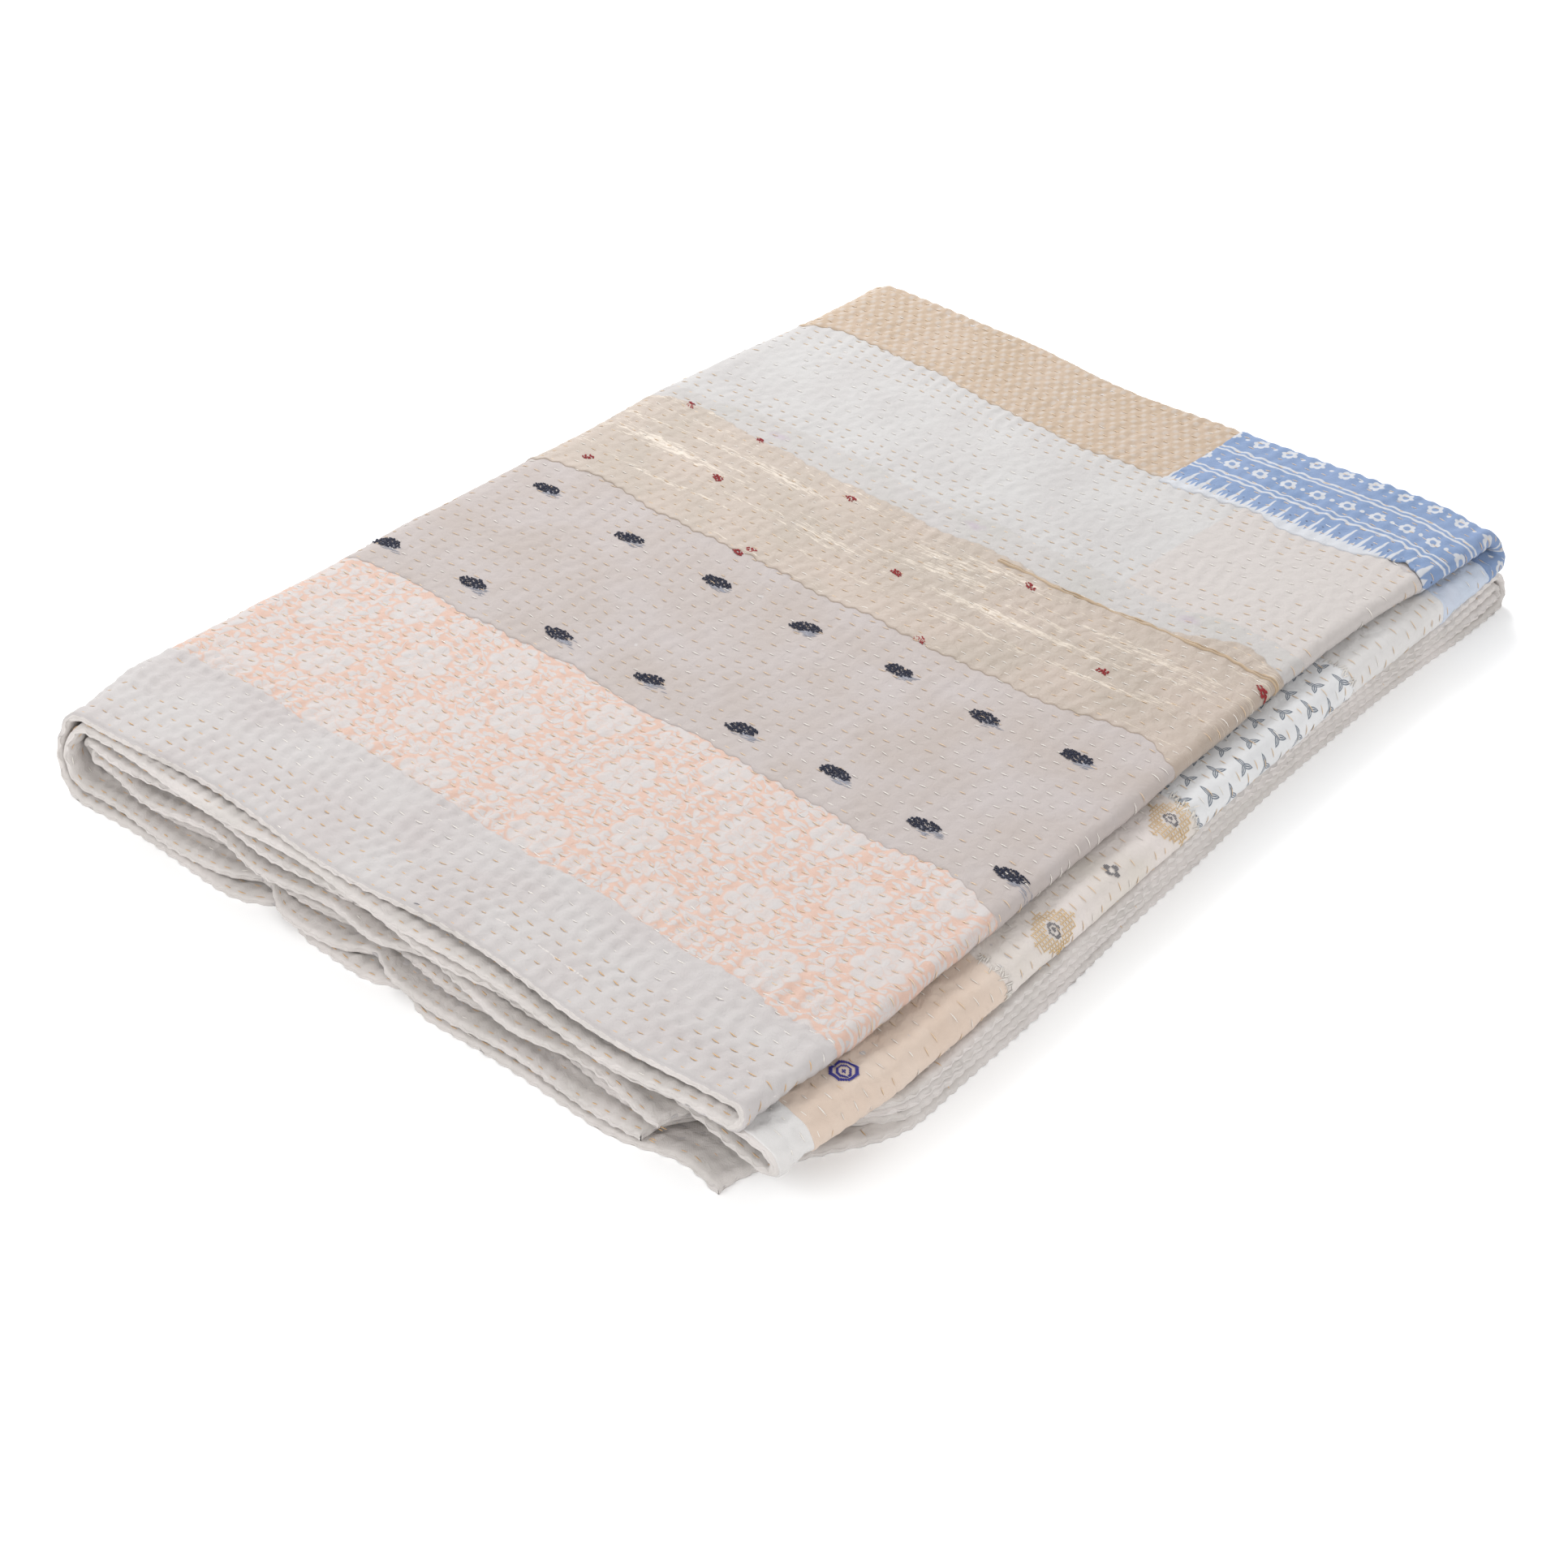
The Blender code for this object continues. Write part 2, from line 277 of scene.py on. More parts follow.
def pucker(across, along):
    """Height of the puffed cotton: low at each stitch, high between two and between rows.

    A cosine along each row, blended into the next row's, with a sharp valley at the row,
    both made uneven by slow sines, and with small crushed waves on them. The height
    follows PUFF_STATIONS: the thin middle strips are drawn up less than the rest.
    """
    rows, stitches = hand_rows(across, along)
    valley = np.abs(np.sin(math.pi * rows)) ** 0.7
    row = np.floor(rows)
    share = np.cos(math.pi / 2.0 * (rows - row)) ** 2
    turns = (2.0 * math.pi * (stitches - row_start(number)) for number in (row, row + 1.0))
    here, after = (np.cos(turn) for turn in turns)
    brick = here * share + after * (1.0 - share)
    drawn_up = eased(HEM_TO_FOLD - np.abs(along), PUFF_STATIONS, PUFFS)
    uneven = 0.35 * np.sin(across / 19.0 + along / 23.0) * np.sin(along / 17.0 - across / 41.0)
    uneven = 1.0 + uneven
    crush = np.sin(across / 2.9 + 2.2 * np.sin(along / 6.0))
    crush = crush * np.sin(along / 3.3 + 1.7 * np.sin(across / 8.0))
    sag = np.sin(across / 33.0 + along / 52.0) * np.sin(along / 29.0 - across / 67.0 + 1.0)
    puffed = drawn_up * uneven * (0.42 * valley - 0.30 * brick - 0.12)
    return PUCKER * (puffed + 0.09 * crush + 0.24 * sag)


def grid_faces(rows, columns):
    """Four-sided faces of a grid whose points are numbered row by row."""
    corner = np.arange(rows - 1)[:, None] * columns + np.arange(columns - 1)[None, :]
    corner = corner.ravel()
    return np.stack([corner, corner + columns, corner + columns + 1, corner + 1], axis=1)


def mesh_object(name, points, faces, material, uv=None):
    """A mesh object from arrays of points and four-sided faces, with one UV for each point."""
    points = points.reshape(-1, 3)
    mesh = bpy.data.meshes.new(name)
    mesh.vertices.add(len(points))
    mesh.vertices.foreach_set("co", points.ravel())
    mesh.loops.add(faces.size)
    mesh.loops.foreach_set("vertex_index", faces.ravel())
    mesh.polygons.add(len(faces))
    mesh.polygons.foreach_set("loop_start", np.arange(len(faces)) * faces.shape[1])
    mesh.update(calc_edges=True)
    if uv is not None:
        layer = mesh.uv_layers.new(name="cloth")
        layer.data.foreach_set("uv", uv.reshape(-1, 2)[faces.ravel()].ravel())
    mesh.materials.append(material)
    mesh.shade_smooth()
    thing = bpy.data.objects.new(name, mesh)
    bpy.context.collection.objects.link(thing)
    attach(thing, "root")
    return thing


def linear(code):
    """A colour from its sRGB hex code, as linear red, green, blue and alpha."""
    parts = [int(code[start : start + 2], 16) / 255.0 for start in (1, 3, 5)]
    light = [part / 12.92 if part <= 0.04045 else ((part + 0.055) / 1.055) ** 2.4 for part in parts]
    return light + [1.0]


def node(tree, kind, inputs=(), take=0, **settings):
    """Adds a node with its settings and its inputs, as links or values; gives one output."""
    new = tree.nodes.new("ShaderNode" + kind)
    inputs = inputs if isinstance(inputs, dict) else dict(enumerate(inputs))
    for key, value in settings.items():
        setattr(new, key, value)
    for socket, value in inputs.items():
        if isinstance(value, bpy.types.NodeSocket):
            tree.links.new(value, new.inputs[socket])
        else:
            new.inputs[socket].default_value = value
    return new.outputs[take]


THREAD = 0.9  # thread spacing drawn, some three times the real one, so that it shows


def woven(name, light, dark, pattern=None, roughness=0.9, sheen=0.1, weave=0.05, wrinkle=1.0):
    """Plain-woven cloth: a slow change of tone, crossed threads and fine creases.

    pattern(tree, mm, ground) gives the colour, relief and roughness of a print.
    """
    material = bpy.data.materials.new(name)
    material.use_nodes = True
    tree = material.node_tree
    shader = tree.nodes["Principled BSDF"]
    uv = node(tree, "UVMap", take="UV", uv_map="cloth")
    mm = node(tree, "VectorMath", (uv, (1000.0, 1000.0, 1000.0)), operation="MULTIPLY")
    tone = node(tree, "TexNoise", {"Vector": mm, "Scale": 1 / 55.0, "Detail": 3.0})
    tone = node(tree, "MapRange", {"Value": tone, "From Min": 0.35, "From Max": 0.65})
    colours = {"Factor": tone, "A": linear(dark), "B": linear(light)}
    ground = node(tree, "Mix", colours, take=2, data_type="RGBA")
    print_on = pattern(tree, mm, ground) if pattern else {"colour": ground}
    turns = node(tree, "VectorMath", (mm, (2 * math.pi / THREAD,) * 3), operation="MULTIPLY")
    turns = node(tree, "VectorMath", (turns,), operation="SINE")
    x, y = (node(tree, "SeparateXYZ", (turns,), take=axis) for axis in "XY")
    crossed = node(tree, "Math", (x, y), operation="MULTIPLY")
    crossed = node(tree, "Math", (crossed, weave), operation="MULTIPLY")
    fine = {"Vector": mm, "Scale": 1 / 6.0, "Detail": 5.0, "Distortion": 0.8}
    crease = node(tree, "TexNoise", fine)
    bump = node(tree, "Math", (crease, wrinkle, crossed), operation="MULTIPLY_ADD")
    if "relief" in print_on:
        bump = node(tree, "Math", (print_on["relief"], 0.2, bump), operation="MULTIPLY_ADD")
    normal = node(tree, "Bump", {"Height": bump, "Distance": MM, "Strength": 0.8})
    tree.links.new(print_on["colour"], shader.inputs["Base Color"])
    tree.links.new(normal, shader.inputs["Normal"])
    if "roughness" in print_on:
        tree.links.new(print_on["roughness"], shader.inputs["Roughness"])
    else:
        shader.inputs["Roughness"].default_value = roughness
    shader.inputs["Sheen Weight"].default_value = sheen
    shader.inputs["Sheen Roughness"].default_value = 0.5
    return material


# Old white cotton, washed soft: off-white, cooler and warmer by turns.
white_cotton = woven("old_white_cotton", "#B3AFAE", "#AEA8A7")

# Steps of the cloth's grid over each stretch of stations, across and along.
P_SPANS = (
    (-4.0, -3.0, 40), (-3.0, -2.0, 14), (-2.0, -1.0, 40), (-1.0, 1.0, 16),
    (1.0, 2.0, 40), (2.0, 3.0, 14), (3.0, 4.0, 40),
)
Q_SPANS = ((-2.0, -1.0, 44), (-1.0, 1.0, 14), (1.0, 2.0, 44))
END_INSET = 1.0  # of the plain cloth's edges inside the hems
CLOTH_REACH = (1200.0, 779.0)  # from the middle folds to its edges, near enough


def spans(parts):
    """Evenly spaced stations over each (start, end, steps), without doubles."""
    lines = [np.linspace(start, end, steps, endpoint=False) for start, end, steps in parts]
    return np.concatenate(lines + [[parts[-1][1]]])


def quilt_cloth():
    """The face and the reverse, each a grid off the middle, and a rim that closes them.

    The two grids are rows of one closed ring: face rows forward and reverse rows back,
    so the ring's first and last columns close at the front hems.
    """
    across_line = spans(P_SPANS)[:, None]
    along_line = spans(Q_SPANS)[None, :]
    across, along = flat_place(across_line + 0.0 * along_line, along_line + 0.0 * across_line)
    across = across * (1.0 - END_INSET / CLOTH_REACH[0])
    along = along * (1.0 - END_INSET / CLOTH_REACH[1])
    face = surface(across, along, CORE)
    reverse = surface(across, along, -CORE)
    rows, columns = across.shape
    points = np.concatenate([face, reverse])
    uv = np.stack([across, along], axis=-1) * MM
    uv = np.concatenate([uv, uv])
    top = grid_faces(rows, columns)
    under = top[:, ::-1] + rows * columns
    number = np.arange(rows * columns).reshape(rows, columns)
    loop = np.concatenate([number[0, :], number[1:, -1], number[-1, -2::-1], number[-2:0:-1, 0]])
    after = np.roll(loop, -1)
    rim = np.stack([loop, after, after + rows * columns, loop + rows * columns], axis=1)
    faces = np.concatenate([top, under, rim])
    return mesh_object("quilt_cloth", points, faces, white_cotton, uv)


cloth = quilt_cloth()
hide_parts("quilt")

# ---- The hems ----
# The quilt's own edges, turned in and sewn all round. The face and the reverse cotton
# meet at the rim with a fine groove between them, and the turned-in cloth makes the edge
# a soft roll, drawn up into small scallops by the stitches.

HEM_STEP = 2.6  # from one section of a hem to the next
# Where a section's points lie in from the rim, and the roll's height at distances in.
FRONT_INSETS = (30.0, 26.0, 22.5, 19.5, 16.5, 14.0, 11.5, 9.0, 7.0, 5.0, 3.4, 2.0, 1.0, 0.3)
SIDE_INSETS = (90.0, 80.0, 71.0, 63.0, 56.0, 50.0, 44.0, 39.0, 34.5) + FRONT_INSETS
ROLL_INSETS = (-0.6, -0.4, -0.1, 0.3, 1.2, 3.0, 5.5, 9.0, 14.0)
ROLL_HEIGHTS = (-0.9, -0.3, 0.1, 0.5, 1.0, 1.45, 1.3, 0.7, 0.0)
GROOVE = ((-0.45, 0.45), (-0.1, 0.1), (-0.1, -0.1), (-0.45, -0.45))
SCALLOP = 0.8  # how far each stitch draws the rim in or lets it out


def hem_inset(across, along):
    """Distance in from the nearest hem of the flat cloth, front or side."""
    share = np.sin(np.clip(along / BACK_HALF_ARC, -1.0, 1.0) * math.pi / 2.0)
    right_half, left_arc = arcs(np.sign(across), share)
    to_side = right_half + 2.0 * PILE_WIDTH + left_arc - np.abs(across)
    return np.minimum(HEM_TO_FOLD - np.abs(along), to_side)


def face_height(across, along):
    """Height of the face off the middle of the cloth: its half thickness, roll and puckers."""
    inset = hem_inset(across, along)
    roll = np.interp(inset, ROLL_INSETS, ROLL_HEIGHTS)
    return HALF_CLOTH + roll + pucker(across, along) * (0.5 + 0.5 * rise(inset, 0.0, 9.0))


def flat_uv(across, along):
    """UV in metres: the place on the flat cloth."""
    return np.stack(np.broadcast_arrays(across, along), axis=-1) * MM


def hem_section(insets):
    """Distances in from the hem and the side, face 1 to reverse -1, round a hem's section."""
    rim = [(-0.2, 1.0), (-0.4, 1.0), (-0.5, 1.0)]
    face = [(inset, 1.0) for inset in insets]
    section = face + rim + list(GROOVE) + [(inset, -side) for inset, side in rim[::-1]]
    return np.array(section + [(inset, -side) for inset, side in face[::-1]]).T


def hem_band(name, across_of, along_of, insets, line, flip, material):
    """A band round a hem: its section carried along the line, with scallops at the rim."""
    inset, side = (part[None, :] for part in hem_section(insets))
    near = rise(-inset, -9.0, 0.0)
    across, along = across_of(line, inset, near), along_of(line, inset, near)
    grooved = np.abs(side) < 0.99
    lift = np.where(grooved, side * 1.2, side * face_height(across, along))
    points = surface(across, along, lift)
    faces = grid_faces(*points.shape[:2])
    if flip:
        faces = faces[:, ::-1]
    return mesh_object(name, points, faces, material, flat_uv(across, along))


def front_hem(name, half, material):
    """Round a front hem, over the whole width of the flat cloth."""
    low, high = (flat_place(np.array(end), np.array(2.0 * half))[0] for end in (-4.0, 4.0))
    line = np.linspace(low, high, int((high - low) / HEM_STEP))[:, None]

    def along_of(across, inset, near):
        stitches = hand_rows(across, half * HEM_TO_FOLD)[1]
        scallop = SCALLOP * np.cos(2.0 * math.pi * stitches) + 0.5 * np.sin(across / 23.0 + half)
        return half * (HEM_TO_FOLD - inset - scallop * near)

    def across_of(across, inset, near):
        return across + 0.0 * inset

    return hem_band(name, across_of, along_of, FRONT_INSETS, line, half < 0, material)


def side_hem(name, half, material):
    """Round a free side hem, from one front hem over the back fold to the other."""
    stops = spans(((-2.0, -1.0, 290), (-1.0, 1.0, 14), (1.0, 2.0, 290)))
    end, line = flat_place(np.full(stops.shape, 4.0 * half), stops)
    end, line = np.abs(end)[:, None], line[:, None]

    def across_of(along, inset, near):
        rows = hand_rows(half * end, along)[0]
        scallop = SCALLOP * np.cos(2.0 * math.pi * rows) + 0.6 * np.sin(along / 27.0)
        return half * (end - inset - scallop * near)

    def along_of(along, inset, near):
        return along + 0.0 * inset

    return hem_band(name, across_of, along_of, SIDE_INSETS, line, half > 0, material)


# The same white cotton on the hems, painted lighter and warmer: painted light that lifts the shade
# on the hem rolls and side hems, and painted warm bounce light for the shade inside the folds.
painted_light_hem_cloth = woven("white_cotton_painted_light_on_hems", "#C8C2BF", "#BFBAB6")
hems = [
    front_hem("front_hem_upper", -1.0, painted_light_hem_cloth),
    front_hem("front_hem_lower", 1.0, painted_light_hem_cloth),
    side_hem("side_hem_outer", -1.0, painted_light_hem_cloth),
    side_hem("side_hem_inner", 1.0, painted_light_hem_cloth),
]

# ---- The patches ----
# Strips of other old cloth, sewn to the face with their edges turned under. Each lies
# across the whole width, and the next one laps over it or goes under it. Seams are given
# as places left of the right fold's middle, and in from the front hem.

PATCH_LEFT = 652.0  # where a strip ends under the pile
PATCH_RIGHT = -42.0  # and between layers 1 and 2
PATCH_STEP = 2.3
LIFT = 0.35  # of a patch off the cloth
LAP = 0.5  # more, along an edge that laps over the next patch
LAP_REACH = 6.0
UNDER = 7.0  # how far a patch runs on under the one that laps over it
TURN_OUT = np.array([0.3, 0.6, 0.65])  # a turned edge, out from its line and down
TURN_DOWN = np.array([0.2, 0.7, 1.25])

SEAMS = {
    "floral_front": (
        (652, 90), (550, 89), (449, 83), (335, 90), (245, 77), (92, 82),
        (46, 71), (-42, 71),
    ),
    "pink_front": (
        (652, 232), (558, 233), (524, 239), (459, 228), (357, 239), (288, 234),
        (150, 227), (49, 227), (11, 215), (-42, 215),
    ),
    "sand_front": (
        (652, 404), (566, 404), (520, 415), (456, 403), (327, 411), (231, 403),
        (127, 401), (33, 409), (2, 398), (-42, 398),
    ),
    "sand_back": (
        (652, 525), (568, 525), (523, 534), (462, 522), (309, 522), (224, 519),
        (150, 512), (78, 520), (42, 533), (3, 522), (-42, 522),
    ),
    "muslin_back": (
        (652, 545), (568, 546), (462, 552), (309, 550), (150, 547), (3, 548),
        (-42, 548),
    ),
    "tan_front": (
        (652, 678), (568, 676), (535, 687), (490, 685), (413, 680), (295, 677),
        (200, 675), (-42, 672),
    ),
    "blue_front": (
        (214, 672), (134, 677), (112, 672), (57, 671), (18, 688), (-42, 668),
    ),
}


def seam(name):
    """A seam as a line: straight between its stations, then rounded and drawn in by hand."""

    def line(across):
        places = np.array(SEAMS[name], dtype=float)[::-1]
        depth = np.interp(-across, places[:, 0], places[:, 1])
        stitches = hand_rows(across, depth - HEM_TO_FOLD)[1]
        drawn = 0.8 * np.cos(2.0 * math.pi * stitches) + 1.2 * np.sin(across / 17.0 + len(name))
        return depth + drawn + 0.8 * np.sin(across / 7.3 + 2.0 * np.sin(across / 31.0))

    return line


def level_line(depth, wave=0.0):
    """A line at one distance in from the front hem, with a slow wave."""
    return lambda across: depth + wave * np.sin(across / 15.0 + depth)


def turned(line, on_top):
    """Three more places past each end of a line, out and down, for an edge turned under."""
    out = np.concatenate([-TURN_OUT[::-1] * on_top[0], np.zeros(len(line)), TURN_OUT * on_top[1]])
    down = np.concatenate([TURN_DOWN[::-1], np.zeros(len(line)), TURN_DOWN])
    return np.pad(line, 3, mode="edge") + out, down


def patch(
    name, material, front, back, on_top, left=PATCH_LEFT, right=PATCH_RIGHT, half=-1.0, level=0.0
):
    """A strip between two lines, with its lapping edges raised and turned down.

    on_top says for the front, back, left and right edge whether it laps over its
    neighbour, 1, or runs on under it, 0. Across the strip, depth goes evenly from the
    front line to the back line.
    """
    line = -np.linspace(left, right, int((left - right) / PATCH_STEP))
    across, side_down = turned(line, on_top[2:])
    near = (front(across) - UNDER * (1 - on_top[0]))[:, None]
    far = (back(across) + UNDER * (1 - on_top[1]))[:, None]
    width = np.median(far - near)
    share = np.linspace(0.0, 1.0, int(width / PATCH_STEP))
    share, end_down = turned(share * width, on_top[:2])
    depth = near + (far - near) * share[None, :] / width
    across = across[:, None] + 0.0 * depth
    edges = [
        np.where(on_top[0], depth - near, np.inf),
        np.where(on_top[1], far - depth, np.inf),
        np.where(on_top[2], across + left, np.inf),
        np.where(on_top[3], -right - across, np.inf),
    ]
    edge = np.maximum(np.minimum.reduce(edges), 0.0)
    along = half * (HEM_TO_FOLD - depth)
    lift = face_height(across, along) + LIFT + level + LAP * np.exp(-((edge / LAP_REACH) ** 2))
    lift = lift - np.maximum(side_down[:, None], end_down[None, :])
    points = surface(across, along, lift)
    faces = grid_faces(*points.shape[:2])
    if half > 0:
        faces = faces[:, ::-1]
    return mesh_object(name, points, faces, material, flat_uv(across, along))


# A block-printed cotton with white flowers, leaves and scrolling stems on a peach ground.
# The print repeats every 92 by 78 mm, as it does from the printer's block.
REPEAT = (92.0, 78.0, 1000.0)
Bloom = namedtuple("Bloom", "x y radius lobes depth power turn")
BLOOMS = (
    Bloom(22, 20, 19.0, 8, 0.20, 0.7, 0.0),
    Bloom(67, 58, 18.0, 7, 0.22, 0.7, 0.6),
    Bloom(60, 13, 9.5, 6, 0.40, 0.8, 0.2),
    Bloom(14, 61, 9.5, 5, 0.45, 0.8, 0.9),
    Bloom(90, 35, 8.5, 6, 0.45, 0.8, 0.4),
    Bloom(45, 38, 9.5, 3, 0.92, 1.2, 0.5),
    Bloom(81, 12, 9.0, 5, 0.90, 1.1, 1.2),
    Bloom(36, 67, 9.5, 4, 0.92, 1.2, 0.1),
    Bloom(4, 42, 8.5, 5, 0.92, 1.1, 0.7),
    Bloom(68, 33, 8.0, 3, 0.92, 1.1, 1.7),
)
STEM_WIDTH = 0.030  # in units of the noise that the stems follow, about 1.4 mm
LEAF_SIZE = 11.0
PEACH = "#C0A395"
PRINT_WHITE = "#B7B3B2"


def floral(tree, mm, ground):
    """White where a bloom, stem or leaf is, and peach elsewhere, with soft edges.

    A bloom is where the distance from its middle is under R (1 - d + d |cos(n a / 2)|^k),
    a stem a band round the middle level of slow noise, and a leaf a stretched cell.
    """
    waver = node(tree, "TexNoise", {"Vector": mm, "Scale": 1 / 12.0, "Detail": 1.0}, take="Color")
    waver = node(tree, "VectorMath", (waver, (0.5, 0.5, 0.5)), operation="SUBTRACT")
    place = node(tree, "VectorMath", (waver, (8.0, 8.0, 0.0), mm), operation="MULTIPLY_ADD")
    half, other = tuple(side / 2 for side in REPEAT), tuple(-side / 2 for side in REPEAT)
    blooms = clear = inner = 0.0
    for bloom in BLOOMS:
        here = node(tree, "VectorMath", (place, (bloom.x, bloom.y, 0.0)), operation="SUBTRACT")
        here = node(tree, "VectorMath", (here, half, other), operation="WRAP")
        here = node(tree, "VectorMath", (here, (1.0, 1.0, 0.0)), operation="MULTIPLY")
        radius = node(tree, "VectorMath", (here,), take="Value", operation="LENGTH")
        x, y = (node(tree, "SeparateXYZ", (here,), take=axis) for axis in "XY")
        angle = node(tree, "Math", (y, x), operation="ARCTAN2")
        turn = node(tree, "Math", (angle, bloom.lobes / 2, bloom.turn), operation="MULTIPLY_ADD")
        lobe = node(tree, "Math", (turn,), operation="COSINE")
        lobe = node(tree, "Math", (lobe,), operation="ABSOLUTE")
        lobe = node(tree, "Math", (lobe, bloom.power), operation="POWER")
        parts = (lobe, bloom.radius * bloom.depth, bloom.radius * (1 - bloom.depth))
        reach = node(tree, "Math", parts, operation="MULTIPLY_ADD")
        gap = node(tree, "Math", (reach, radius), operation="SUBTRACT")
        mask = node(tree, "MapRange", {"Value": gap, "From Min": -0.8, "From Max": 0.9})
        halo = node(tree, "MapRange", {"Value": gap, "From Min": -2.6, "From Max": -1.0})
        blooms = node(tree, "Math", (mask, blooms), operation="MAXIMUM")
        clear = node(tree, "Math", (halo, clear), operation="MAXIMUM")
        if bloom.depth < 0.6:
            ring = node(tree, "Math", (gap, 0.5 * bloom.radius), operation="SUBTRACT")
            ring = node(tree, "Math", (ring,), operation="ABSOLUTE")
            ring = node(tree, "MapRange", {"Value": ring, "From Min": 1.3, "From Max": 0.2})
            vein = node(tree, "MapRange", {"Value": lobe, "From Min": 0.5, "From Max": 0.1})
            vein = node(tree, "Math", (vein, mask), operation="MULTIPLY")
            line = node(tree, "Math", (ring, vein), operation="MAXIMUM")
            inner = node(tree, "Math", (line, inner), operation="MAXIMUM")
    rest = 0.0
    for turned_by, shift in ((0.7, 0.0), (-0.9, 31.0)):
        leaning = {
            "Vector": place,
            "Location": (shift, 0.0, 0.0),
            "Rotation": (0.0, 0.0, turned_by),
            "Scale": (1.0, 2.3, 1.0),
        }
        leaning = node(tree, "Mapping", leaning)
        cell = {"Vector": leaning, "Scale": 1 / LEAF_SIZE, "Randomness": 0.8}
        cell = node(tree, "TexVoronoi", cell, take="Distance", voronoi_dimensions="2D")
        leaf = node(tree, "MapRange", {"Value": cell, "From Min": 0.30, "From Max": 0.22})
        rest = node(tree, "Math", (rest, leaf), operation="MAXIMUM")
    winding = {"Vector": place, "Scale": 1 / 24.0, "Detail": 0.0, "Distortion": 1.2}
    stem = node(tree, "TexNoise", winding)
    stem = node(tree, "Math", (stem, 0.5), operation="SUBTRACT")
    stem = node(tree, "Math", (stem,), operation="ABSOLUTE")
    band = {"Value": stem, "From Min": 1.5 * STEM_WIDTH, "From Max": 0.7 * STEM_WIDTH}
    stem = node(tree, "MapRange", band)
    rest = node(tree, "Math", (rest, stem), operation="MAXIMUM")
    clear = node(tree, "Math", (1.0, clear), operation="SUBTRACT")
    rest = node(tree, "Math", (rest, clear), operation="MULTIPLY")
    white = node(tree, "Math", (blooms, rest), operation="MAXIMUM")
    kept = node(tree, "Math", (inner, -0.40, 1.0), operation="MULTIPLY_ADD")
    white = node(tree, "Math", (white, kept), operation="MULTIPLY")
    worn = node(tree, "TexNoise", {"Vector": mm, "Scale": 1 / 9.0, "Detail": 4.0})
    fading = {"Value": worn, "From Min": 0.35, "From Max": 0.75, "To Min": 0.97, "To Max": 0.72}
    worn = node(tree, "MapRange", fading)
    white = node(tree, "Math", (white, worn), operation="MULTIPLY")
    colours = {"Factor": white, "A": linear(PEACH), "B": linear(PRINT_WHITE)}
    return {"colour": node(tree, "Mix", colours, take=2, data_type="RGBA"), "relief": white}


# Where the painted highlights of the sand silk begin.
PAINTED_HIGHLIGHT_ZONE = (425.0, 452.0)  # in from the front hem, over which the streaks set in


def painted_silk_highlights(tree, mm, ground):
    """Painted highlights of the silk: bright broken streaks along the cloth, stretched noise over a
    threshold, in one zone.
    """
    stretched = node(tree, "VectorMath", (mm, (1 / 13.0, 1 / 1.0, 1.0)), operation="MULTIPLY")
    broken = {"Vector": stretched, "Scale": 1.0, "Detail": 2.0, "Distortion": 0.9}
    streak = node(tree, "TexNoise", broken)
    bands = node(tree, "VectorMath", (mm, (1 / 150.0, 1 / 12.0, 1.0)), operation="MULTIPLY")
    bands = node(tree, "TexNoise", {"Vector": bands, "Scale": 1.0, "Detail": 1.0})
    streak = node(tree, "Math", (bands, 0.9, streak), operation="MULTIPLY_ADD")
    depth = node(tree, "SeparateXYZ", (mm,), take="Y")
    first, last = (place - HEM_TO_FOLD for place in PAINTED_HIGHLIGHT_ZONE)
    zone = {"Value": depth, "From Min": first, "From Max": last, "To Min": -0.16, "To Max": 0.0}
    streak = node(tree, "Math", (streak, node(tree, "MapRange", zone)), operation="ADD")
    # The painted highlight: a brighter colour mixed in where the streaks rise over the threshold,
    # with lower roughness there.
    painted_highlight = {"Value": streak, "From Min": 1.03, "From Max": 1.13, "To Max": 0.6}
    painted_highlight = node(tree, "MapRange", painted_highlight)
    rough = node(tree, "MapRange", {"Value": painted_highlight, "To Min": 0.62, "To Max": 0.36})
    colours = {"Factor": painted_highlight, "A": ground, "B": linear("#C4B7A6")}
    colour = node(tree, "Mix", colours, take=2, data_type="RGBA")
    return {"colour": colour, "roughness": rough, "relief": painted_highlight}


# Places of the smudges: left of the right fold, and in from the front hem.
SMUDGES = ((-456.0, 537.0), (-268.0, 539.0), (-87.0, 537.0))


def smudged(tree, mm, ground):
    """Faded mauve print showing through: soft spots, broken up by noise."""
    noise = node(tree, "TexNoise", {"Vector": mm, "Scale": 1 / 5.0, "Detail": 2.0})
    colour = ground
    for across, depth in SMUDGES:
        middle = (across, depth - HEM_TO_FOLD, 0.0)
        here = node(tree, "VectorMath", (mm, middle), operation="SUBTRACT")
        here = node(tree, "VectorMath", (here, (1 / 13.0, 1 / 7.0, 0.0)), operation="MULTIPLY")
        spot = node(tree, "VectorMath", (here,), take="Value", operation="LENGTH")
        spot = node(tree, "Math", (spot, noise), operation="ADD")
        soft = {"Value": spot, "From Min": 1.3, "From Max": 0.6, "To Max": 0.6}
        spot = node(tree, "MapRange", soft)
        colours = {"Factor": spot, "A": colour, "B": linear("#A395A2")}
        colour = node(tree, "Mix", colours, take=2, data_type="RGBA")
    return {"colour": colour}


def checked(tree, mm, ground):
    """A small woven check: pale spots at the crossings of two cosines, 9.5 by 6 mm apart."""
    check = (2 * math.pi / 9.5, math.pi / 6.0, 0.0)
    turns = node(tree, "VectorMath", (mm, check), operation="MULTIPLY")
    turns = [node(tree, "SeparateXYZ", (turns,), take=axis) for axis in "XY"]
    waves = [node(tree, "Math", (turn,), operation="COSINE") for turn in turns]
    both = node(tree, "Math", tuple(waves), operation="MULTIPLY")
    spot = node(tree, "MapRange", {"Value": both, "From Min": -0.1, "From Max": 0.8, "To Max": 0.6})
    colours = {"Factor": spot, "A": ground, "B": linear("#B3ABA4")}
    return {"colour": node(tree, "Mix", colours, take=2, data_type="RGBA"), "relief": spot}


